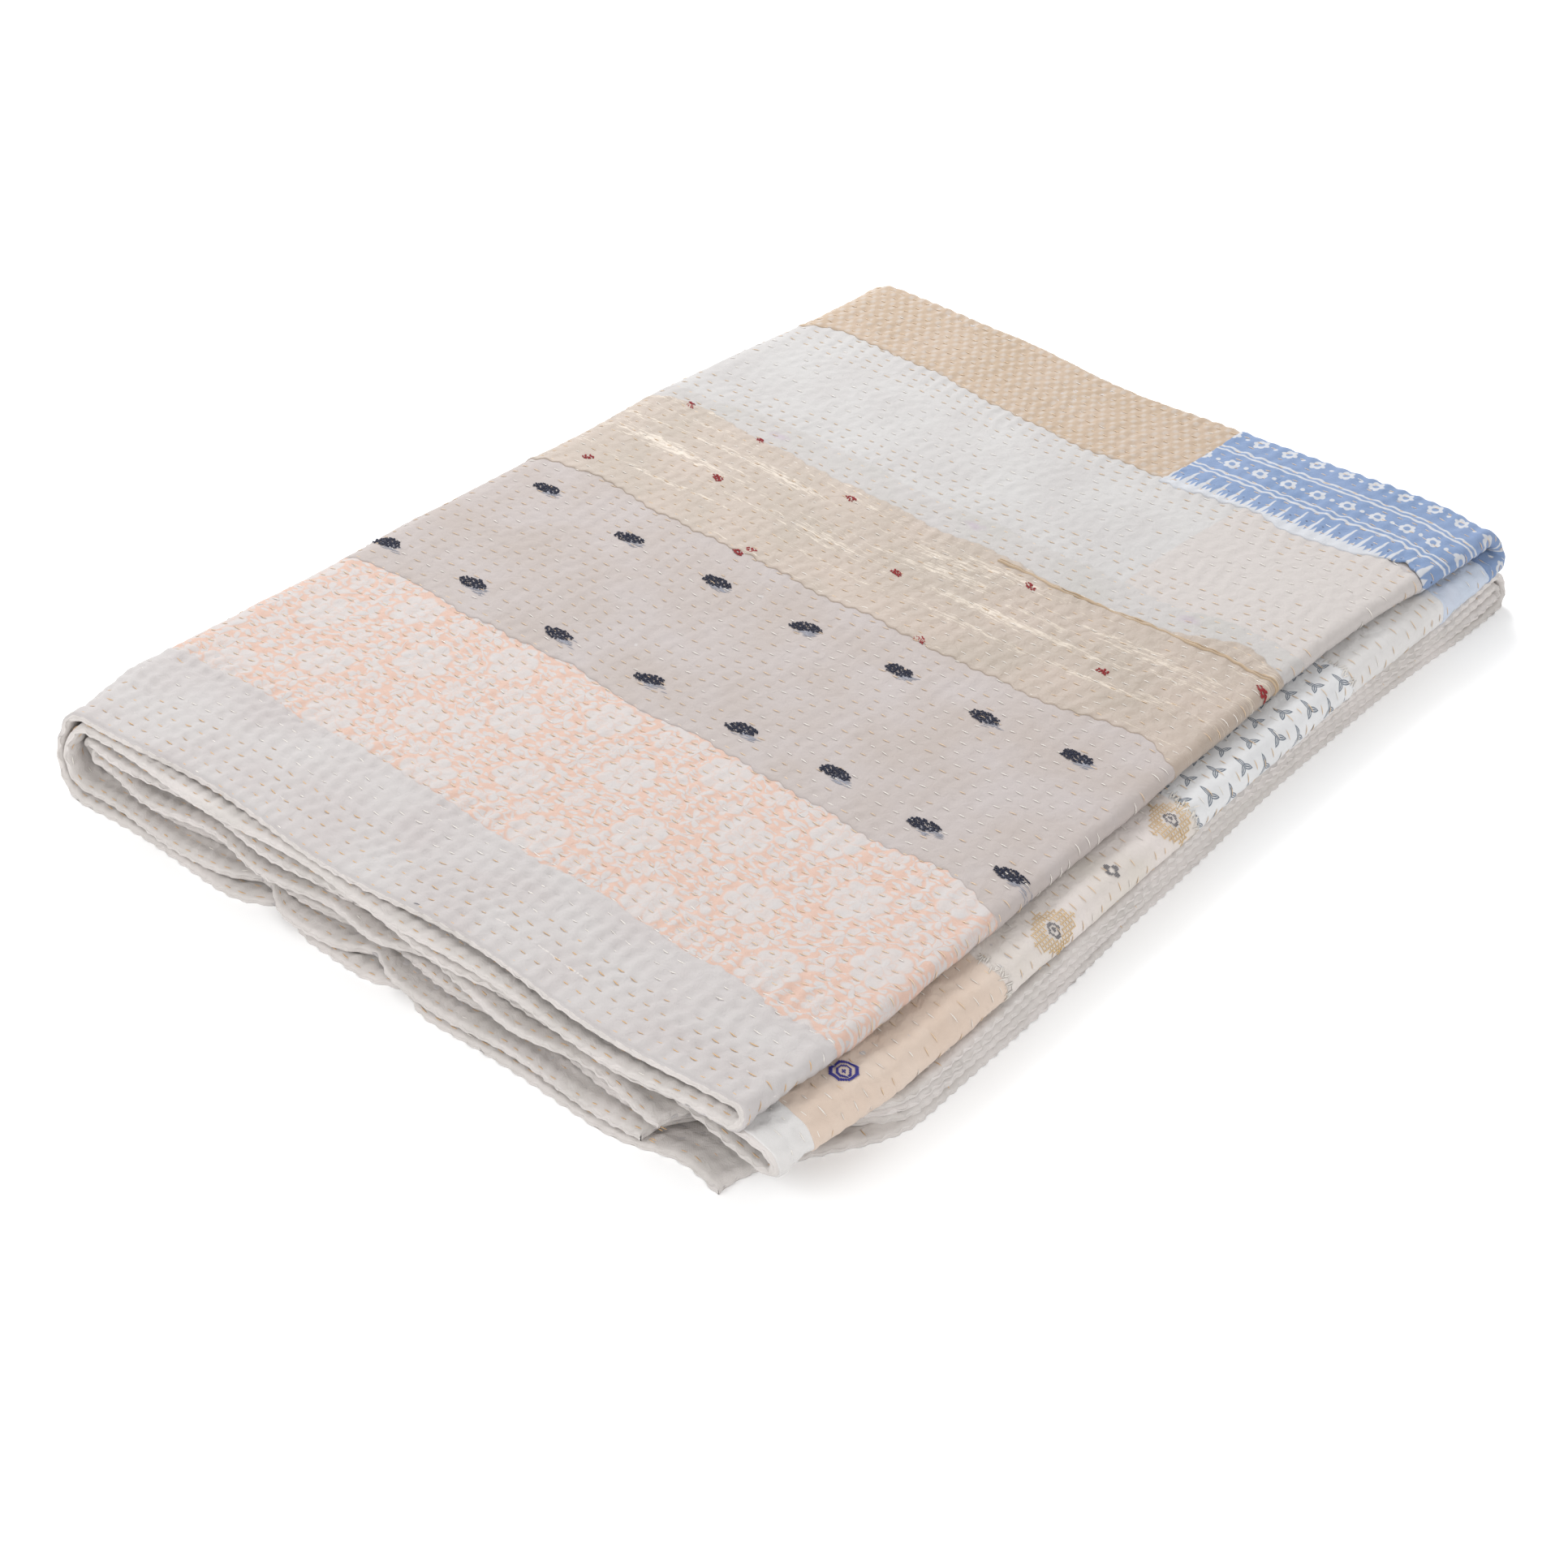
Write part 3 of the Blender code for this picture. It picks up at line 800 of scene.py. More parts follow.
def warmer_right(tree, mm, ground):
    """One width of the white cloth is joined to a warmer one, 147 mm from the right fold."""
    across = node(tree, "SeparateXYZ", (mm,), take="X")
    share = node(tree, "MapRange", {"Value": across, "From Min": -148.0, "From Max": -146.5})
    colours = {"Factor": share, "A": ground, "B": linear("#B1ABA8")}
    return {"colour": node(tree, "Mix", colours, take=2, data_type="RGBA")}


# Sky-blue cotton printed from a border block. Figures are mm in from its front edge.
BLUE_EDGE = 672.0 - HEM_TO_FOLD
BLUE_LINES = (32.0, 37.0, 64.0, 69.0, 103.0, 108.0)
BLUE_FLOWERS = (50.5, 86.0, 126.0)


def border_print(tree, mm, ground):
    """Blue flames, wavy line pairs and rows of six-petalled flowers with dots between them.

    A line is a band round a sine. A petal is where the distance from a flower's middle is
    under 4.6 + 1.6 |cos 3a| and over about 2.5 mm. A flame is blue between two white spikes,
    13 mm apart, and ends in three teeth.
    """
    waver = node(tree, "TexNoise", {"Vector": mm, "Scale": 1 / 7.0, "Detail": 1.0})
    x, y = (node(tree, "SeparateXYZ", (mm,), take=axis) for axis in "XY")
    deep = node(tree, "Math", (y, BLUE_EDGE + 1.5), operation="SUBTRACT")
    deep = node(tree, "Math", (waver, 2.0, deep), operation="MULTIPLY_ADD")
    wave = node(tree, "Math", (x, 0.42), operation="MULTIPLY")
    wave = node(tree, "Math", (wave,), operation="SINE")
    white = 0.0
    for line in BLUE_LINES:
        gap = node(tree, "Math", (wave, -0.45, deep), operation="MULTIPLY_ADD")
        gap = node(tree, "Math", (gap, line), operation="SUBTRACT")
        gap = node(tree, "Math", (gap,), operation="ABSOLUTE")
        mask = node(tree, "MapRange", {"Value": gap, "From Min": 1.3, "From Max": 0.7})
        white = node(tree, "Math", (mask, white), operation="MAXIMUM")
    side = node(tree, "Math", (x, 12.0, -12.0), operation="WRAP")
    beside = node(tree, "Math", (side,), operation="ABSOLUTE")
    beside = node(tree, "Math", (beside, 12.0), operation="SUBTRACT")
    for row in BLUE_FLOWERS:
        up = node(tree, "Math", (deep, row), operation="SUBTRACT")
        for middle, low, high, petals in ((side, 4.6, 1.6, 3.0), (beside, 1.7, 0.0, 1.0)):
            offset = node(tree, "CombineXYZ", (middle, up))
            radius = node(tree, "VectorMath", (offset,), take="Value", operation="LENGTH")
            angle = node(tree, "Math", (up, middle), operation="ARCTAN2")
            angle = node(tree, "Math", (angle, petals), operation="MULTIPLY")
            lobe = node(tree, "Math", (angle,), operation="COSINE")
            lobe = node(tree, "Math", (lobe,), operation="ABSOLUTE")
            reach = node(tree, "Math", (lobe, high, low), operation="MULTIPLY_ADD")
            gap = node(tree, "Math", (reach, radius), operation="SUBTRACT")
            mask = node(tree, "MapRange", {"Value": gap, "From Min": -0.3, "From Max": 0.3})
            if high:
                ring = node(tree, "MapRange", {"Value": radius, "From Min": 2.2, "From Max": 2.8})
                mask = node(tree, "Math", (mask, ring), operation="MULTIPLY")
            white = node(tree, "Math", (mask, white), operation="MAXIMUM")
    flame = node(tree, "Math", (x, 6.5, -6.5), operation="WRAP")
    flame = node(tree, "Math", (flame,), operation="ABSOLUTE")
    spike = node(tree, "Math", (deep, 0.08, 6.5), operation="MULTIPLY_ADD")
    spike = node(tree, "Math", (spike, flame), operation="SUBTRACT")
    spike = node(tree, "MapRange", {"Value": spike, "From Min": 3.0, "From Max": 2.4})
    below = node(tree, "MapRange", {"Value": deep, "From Min": 27.5, "From Max": 26.5})
    spike = node(tree, "Math", (spike, below), operation="MULTIPLY")
    tooth = node(tree, "Math", (x, 2.17, -2.17), operation="WRAP")
    tooth = node(tree, "Math", (tooth,), operation="ABSOLUTE")
    base = node(tree, "Math", (tooth, -3.2, deep), operation="MULTIPLY_ADD")
    base = node(tree, "MapRange", {"Value": base, "From Min": 7.4, "From Max": 6.2})
    comb = node(tree, "Math", (spike, base), operation="MAXIMUM")
    white = node(tree, "Math", (comb, white), operation="MAXIMUM")
    seed = node(tree, "Math", (deep, 17.0), operation="SUBTRACT")
    seed = node(tree, "Math", (seed,), operation="ABSOLUTE")
    seed = node(tree, "Math", (flame, seed), operation="ADD")
    seed = node(tree, "MapRange", {"Value": seed, "From Min": 1.2, "From Max": 0.7})
    colours = {"Factor": white, "A": ground, "B": linear("#B4B6BB")}
    colour = node(tree, "Mix", colours, take=2, data_type="RGBA")
    colours = {"Factor": seed, "A": colour, "B": linear("#3A4760")}
    return {"colour": node(tree, "Mix", colours, take=2, data_type="RGBA")}


def leaf_print(tree, mm, ground):
    """Grey outlines of three-pointed leaves, 16.5 by 39 mm apart, with one between each four."""
    x, y = (node(tree, "SeparateXYZ", (mm,), take=axis) for axis in "XY")
    colour = ground
    for shift_x, shift_y in ((0.0, 0.0), (8.25, 19.5)):
        across = node(tree, "Math", (x, shift_x), operation="ADD")
        across = node(tree, "Math", (across, 8.25, -8.25), operation="WRAP")
        up = node(tree, "Math", (y, shift_y), operation="ADD")
        up = node(tree, "Math", (up, 19.5, -19.5), operation="WRAP")
        offset = node(tree, "CombineXYZ", (across, up))
        radius = node(tree, "VectorMath", (offset,), take="Value", operation="LENGTH")
        angle = node(tree, "Math", (up, across), operation="ARCTAN2")
        angle = node(tree, "Math", (angle, 1.5), operation="MULTIPLY")
        lobe = node(tree, "Math", (angle,), operation="SINE")
        lobe = node(tree, "Math", (lobe,), operation="ABSOLUTE")
        vein = node(tree, "Math", (lobe, radius), operation="MULTIPLY")
        vein = node(tree, "MapRange", {"Value": vein, "From Min": 0.8, "From Max": 0.4})
        lobe = node(tree, "Math", (lobe, 0.8), operation="POWER")
        reach = node(tree, "Math", (lobe, -5.6, 7.4), operation="MULTIPLY_ADD")
        edge = node(tree, "Math", (reach, radius), operation="SUBTRACT")
        inside = node(tree, "MapRange", {"Value": edge, "From Min": 1.8, "From Max": 2.3})
        vein = node(tree, "Math", (vein, inside), operation="MULTIPLY")
        edge = node(tree, "Math", (edge, 0.7), operation="SUBTRACT")
        edge = node(tree, "Math", (edge,), operation="ABSOLUTE")
        mask = node(tree, "MapRange", {"Value": edge, "From Min": 1.1, "From Max": 0.5})
        mask = node(tree, "Math", (mask, vein), operation="MAXIMUM")
        colours = {"Factor": mask, "A": colour, "B": linear("#5F6772")}
        colour = node(tree, "Mix", colours, take=2, data_type="RGBA")
    return {"colour": colour}


# Thin cotton with a faint pink cast.
pink_cotton = woven("thin_pink_cotton", "#A9A19F", "#A49A95")
floral_cotton = woven("block_printed_floral_cotton", PEACH, PEACH, floral)
# Old silk and cotton: sand-coloured, with a low lustre where its weft floats: lower roughness
# there, and a painted highlight of brighter streaks.
sand_silk = woven("sand_silk_cotton", "#9F9084", "#95887B", painted_silk_highlights, sheen=0.2)
# Thin grey-white muslin that faded print shows through.
grey_muslin = woven("thin_grey_muslin", "#ADA9A8", "#A8A5A2", smudged)
back_white = woven("white_cotton_joined_to_warm", "#B1AFAE", "#ACA9A8", warmer_right)
tan_check = woven("tan_checked_cotton", "#A99684", "#A38F7A", checked)
sky_print = woven("sky_blue_block_print", "#7487A8", "#6A80A2", border_print)
pale_blue = woven("washed_pale_blue_cotton", "#B5BBC8", "#ACB7C5")
leaf_cotton = woven("white_cotton_with_leaf_print", "#CCCCCD", "#C6C6C7", leaf_print)
bleached_cotton = woven("bleached_white_cotton", "#C8C6C5", "#C2BFBD")
cream_weave = woven("cream_figured_cotton", "#C8C0BC", "#C0B9B1", wrinkle=1.4)
second_beige = woven("soft_beige_cotton", "#C5B5A8", "#BFAC9D")

TAN_BACK = level_line(HEM_TO_FOLD + 16.0)  # both end round the back fold
BLUE_BACK = level_line(HEM_TO_FOLD + 22.0)
patches = [
    patch("white_front_strip", white_cotton, level_line(0.7), seam("floral_front"), (1, 1, 0, 0)),
    patch("floral_strip", floral_cotton, seam("floral_front"), seam("pink_front"), (0, 0, 0, 0)),
    patch("pink_strip", pink_cotton, seam("pink_front"), seam("sand_front"), (1, 0, 0, 0)),
    patch("sand_strip", sand_silk, seam("sand_front"), seam("sand_back"), (1, 1, 0, 0), level=0.15),
    patch("muslin_strip", grey_muslin, seam("sand_back"), seam("muslin_back"), (0, 1, 0, 0)),
    patch("white_back_strip", back_white, seam("muslin_back"), seam("tan_front"), (0, 0, 0, 0)),
    patch("tan_strip", tan_check, seam("tan_front"), TAN_BACK, (1, 0, 0, 0), right=205.0),
    patch(
        "blue_patch", sky_print, seam("blue_front"), BLUE_BACK, (1, 0, 1, 0), left=214.0, level=0.2
    ),
]

# The strips on the second fold. Each one ends where the next begins, at a depth in from
# the front hem, on a line with a slow wave.
SecondStrip = namedtuple("SecondStrip", "name material depth wave on_top")
SECOND_STRIPS = (
    SecondStrip("second_white_strip", bleached_cotton, 2.0, 0.0, (1, 0, 0, 0)),
    SecondStrip("second_beige_strip", second_beige, 30.0, 1.5, (1, 1, 0, 0)),
    SecondStrip("second_cream_strip", cream_weave, 192.0, 2.0, (0, 1, 0, 0)),
    SecondStrip("second_leaf_strip", leaf_cotton, 386.0, 2.0, (0, 1, 0, 0)),
    SecondStrip("second_back_strip", bleached_cotton, 575.0, 2.0, (0, 0, 0, 0)),
    SecondStrip("second_pale_blue_strip", pale_blue, 690.0, 3.0, (1, 0, 0, 0)),
    SecondStrip("second_blue_strip", sky_print, 746.0, 2.0, (1, 0, 0, 0)),
)
lines = [level_line(strip.depth, strip.wave) for strip in SECOND_STRIPS]
lines.append(level_line(HEM_TO_FOLD - 15.0))
for strip, front, back in zip(SECOND_STRIPS, lines, lines[1:]):
    sides = {"left": 44.0, "right": -62.0, "half": 1.0}
    patches.append(patch(strip.name, strip.material, front, back, strip.on_top, **sides))

# ---- The running stitches ----
# Soft two-ply cotton thread, sewn in rows by hand over the whole quilt, some tan and some
# white. Each stitch shows for about 5 mm and sinks into the cloth at both ends.

STITCH = 5.2
THICK = 0.34  # half the width of a stitch
BEAD_STEPS = np.linspace(-1.0, 1.0, 4)  # along a stitch, and its ring of four points
RING = np.array(((1.0, 0.0), (0.0, 1.0), (-1.0, 0.0), (0.0, -1.0)))
rng = np.random.default_rng(7)


def stitch_places(across_range, along_range):
    """Middles of the stitches of each row in a region, with the drift of the rows taken back."""
    rows = np.arange(math.ceil(along_range[0] / ROW), math.floor(along_range[1] / ROW) + 1)
    numbers = np.arange(math.ceil(across_range[0] / PITCH), math.floor(across_range[1] / PITCH) + 1)
    row, number = (part.ravel() for part in np.meshgrid(rows, numbers, indexing="ij"))
    number = number + row_start(row)
    across, along = number * PITCH, row * ROW
    for _ in range(6):
        row_there, number_there = hand_rows(across, along)
        across = across + (number - number_there) * PITCH
        along = along + (row - row_there) * ROW
    return across, along


def threads(name, material, across, along, length, thick, lift, turn=0.0, side=1.0):
    """Short lengths of thread: thin beads of four sides that dive in at both ends.

    A bead's height is a parabola over its length, and its width tapers with the sixth
    power of the way from its middle. turn is the slope of the bead on the flat cloth.
    """
    count = len(across)
    t = BEAD_STEPS[None, :, None]
    length, thick, turn, side = (
        np.broadcast_to(part, count)[:, None, None] for part in (length, thick, turn, side)
    )
    width = thick * (1.0 - 0.6 * t**6)
    a = across[:, None, None] + t * length / 2.0 - turn * RING[:, 0] * width
    b = along[:, None, None] + turn * t * length / 2.0 + RING[:, 0] * width
    high = lift + thick * (0.5 - 0.9 * t * t) + RING[:, 1] * width * 0.8
    points = surface(a, b, side * (face_height(a, b) + high))
    steps, ring = len(BEAD_STEPS), len(RING)
    first = np.arange(count)[:, None, None] * steps * ring
    first = first + np.arange(steps - 1)[None, :, None] * ring
    corner = first + np.arange(ring)
    beside = first + (np.arange(ring) + 1) % ring
    faces = np.stack([corner, beside, beside + ring, corner + ring], axis=-1).reshape(count, -1, 4)
    cap = np.arange(count)[:, None] * steps * ring + np.arange(ring)
    caps = [cap[:, None, ::-1], cap[:, None, :] + (steps - 1) * ring]
    faces = np.concatenate([faces] + caps, axis=1)
    faces = np.where(side < 0, faces[:, :, ::-1], faces).reshape(-1, 4)
    return mesh_object(name, points, faces, material)


def thread_material(name, colour, roughness=0.55, sheen=0.3):
    """Spun thread: one colour, with a fine twist as bump on Object coordinates."""
    material = bpy.data.materials.new(name)
    material.use_nodes = True
    tree = material.node_tree
    shader = tree.nodes["Principled BSDF"]
    place = node(tree, "TexCoord", take="Object")
    twist = node(tree, "TexNoise", {"Vector": place, "Scale": 2500.0, "Detail": 2.0})
    normal = node(tree, "Bump", {"Height": twist, "Distance": MM, "Strength": 0.4})
    tree.links.new(normal, shader.inputs["Normal"])
    shader.inputs["Base Color"].default_value = linear(colour)
    shader.inputs["Roughness"].default_value = roughness
    shader.inputs["Sheen Weight"].default_value = sheen
    return material


tan_thread = thread_material("tan_cotton_thread", "#CAA576")
pale_thread = thread_material("pale_tan_cotton_thread", "#D3B99A")
white_thread = thread_material("white_silky_thread", "#DED9D2", roughness=0.35)


def sew(name, across, along, white_share, skipped, side=1.0, lift=LIFT + 0.35, tan=tan_thread):
    """Two pieces, tan and white stitches, at the places given, each a little off its mark."""
    off = rng.normal(0.0, 1.0, (3, len(across)))
    white = rng.random(len(across)) < white_share
    kept = rng.random(len(across)) >= skipped
    made = []
    kinds = (("tan", tan, kept & ~white), ("white", white_thread, kept & white))
    for colour, material, chosen in kinds:
        if chosen.any():
            places = across[chosen] + 0.5 * off[0][chosen], along[chosen] + 0.3 * off[1][chosen]
            long = STITCH * (1.0 + 0.12 * off[2][chosen])
            turn = 0.03 * off[0][chosen]
            label = f"{name}_{colour}"
            made.append(threads(label, material, *places, long, THICK, lift, turn, side))
    return made


# On the face of layer 1, round its left and right folds. White thread is on the middle
# strips, more of it to the right, and the tan of the first strip is near its hem.
TOP_RANGE = (-640.0, 36.0)
SECOND_RANGE = (-36.0, 56.0)
top_across, top_along = stitch_places(TOP_RANGE, (3.0 - HEM_TO_FOLD, 17.0))
depth = HEM_TO_FOLD + top_along
on_middle = (depth > 228.0) & (depth < 525.0)
top_white = np.where(on_middle, 0.25 + 0.55 * rise(-top_across, 330.0, 0.0), 0.04)
plain = ((depth > 580.0) & (depth < 648.0)) | ((depth > 47.0) & (depth < 85.0))
top_white = np.where(plain, 0.9, top_white)
skipped = np.where(plain, 0.45, 0.08)
first = depth < 85.0
places = top_across[first], top_along[first]
stitching = sew("first_strip_stitches", *places, top_white[first], skipped[first])
places = top_across[~first], top_along[~first]
stitching += sew("top_stitches", *places, top_white[~first], skipped[~first], tan=pale_thread)
# On the second fold and on the back fold.
second_across, second_along = stitch_places(SECOND_RANGE, (17.0, HEM_TO_FOLD - 4.0))
second_depth = HEM_TO_FOLD - second_along
second_white = np.where(second_depth < 195.0, 0.75, 0.25)
places = second_across, second_along
stitching += sew("second_fold_stitches", *places, second_white, 0.1, tan=pale_thread)
places = stitch_places((-1080.0, -652.0), (-17.0, 17.0))
stitching += sew("back_fold_stitches", *places, 0.1, 0.1, lift=0.2)
# Along the front hems, on both faces of every layer.
for half, word, done in ((-1.0, "upper", TOP_RANGE), (1.0, "lower", SECOND_RANGE)):
    low, high = (flat_place(np.array(end), np.array(2.0 * half))[0] for end in (-4.0, 4.0))
    span = sorted(half * (HEM_TO_FOLD - inset) for inset in (26.0, 2.5))
    places = stitch_places((low + 4.0, high - 4.0), span)
    seen = (places[0] < done[0]) | (places[0] > done[1])
    face_places = places[0][seen], places[1][seen]
    stitching += sew(f"{word}_hem_face_stitches", *face_places, 0.05, 0.06, lift=0.2)
    stitching += sew(f"{word}_hem_reverse_stitches", *places, 0.05, 0.06, side=-1.0, lift=0.2)
# Along the free side hems, and over the part of layer 8 that shows beside the pile.
for half, word in ((-1.0, "outer"), (1.0, "inner")):
    end = flat_place(np.array(4.0), np.array(0.0))[0]
    side_across, side_along = stitch_places((end - 95.0, end + 40.0), (-HEM_TO_FOLD, HEM_TO_FOLD))
    side_across = half * side_across
    from_side = hem_inset(side_across, side_along)
    deep = np.where((half < 0) & (side_along < 0), 88.0, 30.0)
    seen = (from_side > 3.0) & (from_side < deep) & (np.abs(side_along) < HEM_TO_FOLD - 27.0)
    for side, face in ((1.0, "face"), (-1.0, "reverse")):
        places = side_across[seen], side_along[seen]
        stitching += sew(f"{word}_side_{face}_stitches", *places, 0.05, 0.08, side=side, lift=0.2)

# ---- The woven marks ----
# Figures brought in with an extra weft while the cloth was on the loom: short lengths of
# coloured thread on the face, with their ends left as pale floats behind the thin cotton.

# Places of the marks: left of the right fold, and in from the front hem.
NAVY_MARKS = (
    (530, 377), (440, 366), (358, 372), (277, 370), (198, 368), (123, 364), (54, 365),
    (562, 260), (480, 258), (395, 256), (315, 262), (234, 255), (159, 258), (86, 255), (17, 247),
)
RED_MARKS = (
    (537, 530), (541, 428), (462, 523), (450, 465), (358, 510), (366, 414), (372, 406),
    (272, 458), (192, 502), (209, 403), (96, 452), (4, 501),
)
navy_thread = thread_material("navy_weft", "#0E1530", roughness=0.7, sheen=0.05)
red_thread = thread_material("dark_red_weft", "#8E1A20", roughness=0.7, sheen=0.05)
float_thread = thread_material("grey_float", "#93949E", roughness=0.8)


def woven_marks(name, material, places, size, pitch, thick, skipped, turn, lift=LIFT + 0.3):
    """Rows of weft over an ellipse at each place, with slanting gaps where it dips behind."""
    rows = np.arange(-size[1] / 2.0, size[1] / 2.0 + 0.01, pitch)
    lengths = np.arange(-size[0] / 2.0, size[0] / 2.0 + 0.01, 1.7)
    parts = []
    for left, depth in places:
        row, step = (part.ravel() for part in np.meshgrid(rows, lengths, indexing="ij"))
        slash = np.mod(0.17 * step + 0.3 * row + 0.31 * left, 1.0) < 0.23
        step = step + 0.8 * np.sin(row * 2.1 + left) + rng.normal(0.0, 0.2, len(row))
        bend = 0.9 * np.sin(step / size[0] * 2.6 + left)
        radius = (2.0 * step / size[0]) ** 2 + (2.0 * row / size[1]) ** 2
        inside = radius < rng.uniform(0.8, 1.1, len(row))
        inside &= (rng.random(len(row)) >= skipped) & ~slash
        along = row + bend + turn * step + depth - HEM_TO_FOLD
        parts.append(np.stack([step - left, along], axis=-1)[inside])
    spots = np.concatenate(parts)
    long = rng.uniform(1.6, 2.2, len(spots))
    slope = turn + rng.normal(0.0, 0.07, len(spots))
    return threads(name, material, spots[:, 0], spots[:, 1], long, thick, lift, slope)


def floats(name, material, places, size, shift, count, lift=LIFT + 0.05):
    """Loose pale threads past one end of each mark, almost flush with the cloth."""
    left = np.repeat([place[0] for place in places], count)
    deep = np.repeat([place[1] for place in places], count)
    a = -left + shift[0] + rng.normal(0.0, size[0] / 4.0, len(left))
    b = deep - HEM_TO_FOLD + shift[1] + rng.normal(0.0, size[1] / 4.0, len(left))
    return threads(name, material, a, b, rng.uniform(4.0, 8.0, len(a)), 0.3, lift, 0.12)


marks = [
    woven_marks("navy_marks", navy_thread, NAVY_MARKS, (23.0, 10.5), 0.8, 0.54, 0.03, 0.10),
    floats("navy_floats", float_thread, NAVY_MARKS, (17.0, 8.0), (7.0, -3.0), 34),
    woven_marks("red_marks", red_thread, RED_MARKS, (10.0, 6.0), 0.85, 0.48, 0.08, -0.1),
]

# ---- The marks of the second fold ----
# On the cream cloth, stepped lozenges of gold weft round a grey hexagon, and a small grey
# flower between them. On the beige cloth, one royal-blue lozenge. All are common figures
# of this weaving, drawn from their counts of threads.

gold_thread = thread_material("gold_weft", "#D3B070", roughness=0.5, sheen=0.1)
grey_thread = thread_material("grey_weft", "#6B696E", roughness=0.6)
royal_thread = thread_material("royal_blue_weft", "#2A2A8A", roughness=0.6, sheen=0.05)
GOLD_PITCH = 1.25  # one count of the gold figures


def counted_marks(name, material, places, shape, pitch, size, long, thick, lift=LIFT + 0.3):
    """Lengths of weft wherever shape(across, up) is true, on a grid counted from each middle."""
    reach = np.arange(-size, size + 0.01, pitch)
    up, across = (part.ravel() for part in np.meshgrid(reach, reach, indexing="ij"))
    inside = shape(across, up)
    spots = [(place[0] + across[inside], HEM_TO_FOLD - place[1] - up[inside]) for place in places]
    spots = np.concatenate(spots, axis=1)
    return threads(name, material, spots[0], spots[1], long, thick, lift)


def gold_lozenge(across, up):
    """A stepped lozenge of gold lines, with open squares between them and round its middle."""
    column, row = np.round(across / GOLD_PITCH), np.round(up / GOLD_PITCH)
    open_square = (column % 2 == 1) & (row % 2 == 1)
    size = np.ceil(np.abs(up) / 3.75) * 3.75 / 20.0 + np.abs(across) / 15.0
    return (size < 1.1) & ~open_square & (np.hypot(across, up) > 5.4)


def grey_hexagon(across, up):
    """A ring of six sides, and a full one in its middle."""
    size = np.maximum(np.abs(across), 0.6 * np.abs(across) + np.abs(up))
    return ((size < 4.4) & (size > 3.0)) | (size < 1.4)


def small_flower(across, up):
    """Four petals round an open middle: a radius that swells with |cos 2a|."""
    radius = np.hypot(across, up)
    return (radius < 2.4 + 2.6 * np.abs(np.cos(2.0 * np.arctan2(up, across)))) & (radius > 1.8)


def blue_lozenge(across, up):
    """Three rings of eight sides, one inside another."""
    wide, high = np.abs(across), np.abs(up)
    size = np.maximum(np.maximum(wide, high) / 7.5, (wide + high) / 10.5)
    return (size < 1.05) & ((size > 0.8) | ((size < 0.6) & (size > 0.38)) | (size < 0.16))


GOLD_PLACES = ((12.5, 371.0), (9.0, 244.0))
FLOWER_PLACES = ((12.5, 308.0),)
BLUE_PLACES = ((22.0, 71.0),)
FINE_PITCH = 0.9  # one count of the smaller figures
COUNTED = (
    ("gold_lozenges", gold_thread, GOLD_PLACES, gold_lozenge, GOLD_PITCH, 20.0, 1.2, 0.32),
    ("grey_hexagons", grey_thread, GOLD_PLACES, grey_hexagon, FINE_PITCH, 6.0, 1.0, 0.36),
    ("grey_flower", grey_thread, FLOWER_PLACES, small_flower, FINE_PITCH, 6.0, 1.0, 0.36),
    ("royal_lozenge", royal_thread, BLUE_PLACES, blue_lozenge, FINE_PITCH, 9.0, 1.1, 0.42),
)
marks += [counted_marks(*figure) for figure in COUNTED]

# ---- The frayed ends ----
# Raw edges show at some seams, where short ends of warp stand out past the turned edge.
# One stray dark stitch lies at the hem of the first strip.


def frayed(name, material, start, end, depth, count, half=-1.0):
    """Thin hairs across a seam: each lies at its own slope, most of them nearly along y."""
    across = rng.uniform(start, end, count)
    along = half * (HEM_TO_FOLD - depth + rng.normal(0.0, 1.6, count))
    slope = rng.choice((-1.0, 1.0), count) * rng.uniform(0.8, 6.0, count)
    long = rng.uniform(3.0, 8.0, count) / np.hypot(1.0, slope)
    return threads(name, material, across, along, long, 0.08, LIFT + 0.7, slope)


DARK_STITCH = np.array([-260.0]), np.array([3.0 - HEM_TO_FOLD])
hair = thread_material("loose_warp_ends", "#D1CBC3")
marks += [
    frayed("frayed_beige_end", hair, -30.0, 26.0, 193.0, 80, half=1.0),
    frayed("frayed_cream_end", hair, -30.0, 26.0, 387.0, 70, half=1.0),
    frayed("frayed_leaf_end", hair, -30.0, 26.0, 575.0, 50, half=1.0),
    threads("dark_stitch", grey_thread, *DARK_STITCH, 4.0, 0.3, LIFT + 0.5, 0.35),
]

# ---- The welt ----
# The sand strip's back edge is folded back on itself at the right and stands up as a thin
# double cord, darker where it is turned.

WELT_ENDS = (228.0, -6.0)
WELT_DEPTH = 513.5  # in from the front hem
WELT_RING = 7
welt_cloth = woven("turned_sand_edge", "#B29F89", "#A69075")


def welt(name, offset, radius):
    """A half-round cord on the cloth: its ring of points is carried along a wavy line."""
    line = -np.linspace(WELT_ENDS[0], WELT_ENDS[1], 150)[:, None]
    around = np.linspace(-0.35, math.pi + 0.35, WELT_RING)[None, :]
    deep = WELT_DEPTH + offset + 1.6 * np.sin(line / 24.0) + 0.7 * np.sin(line / 8.5 + offset)
    thick = radius * (1.0 + 0.25 * np.sin(line / 6.1 + offset))
    thick = thick * rise(-line, WELT_ENDS[1], WELT_ENDS[1] + 6.0)
    along = deep + thick * np.cos(around) - HEM_TO_FOLD
    across = line + 0.0 * around
    lift = face_height(across, along) + LIFT + 0.15 + thick * np.sin(around) * 1.3
    points = surface(across, along, lift)
    faces = grid_faces(*points.shape[:2])[:, ::-1]
    return mesh_object(name, points, faces, welt_cloth, flat_uv(across, along))


marks += [welt("welt_front", 0.0, 0.85), welt("welt_back", 1.7, 0.6)]

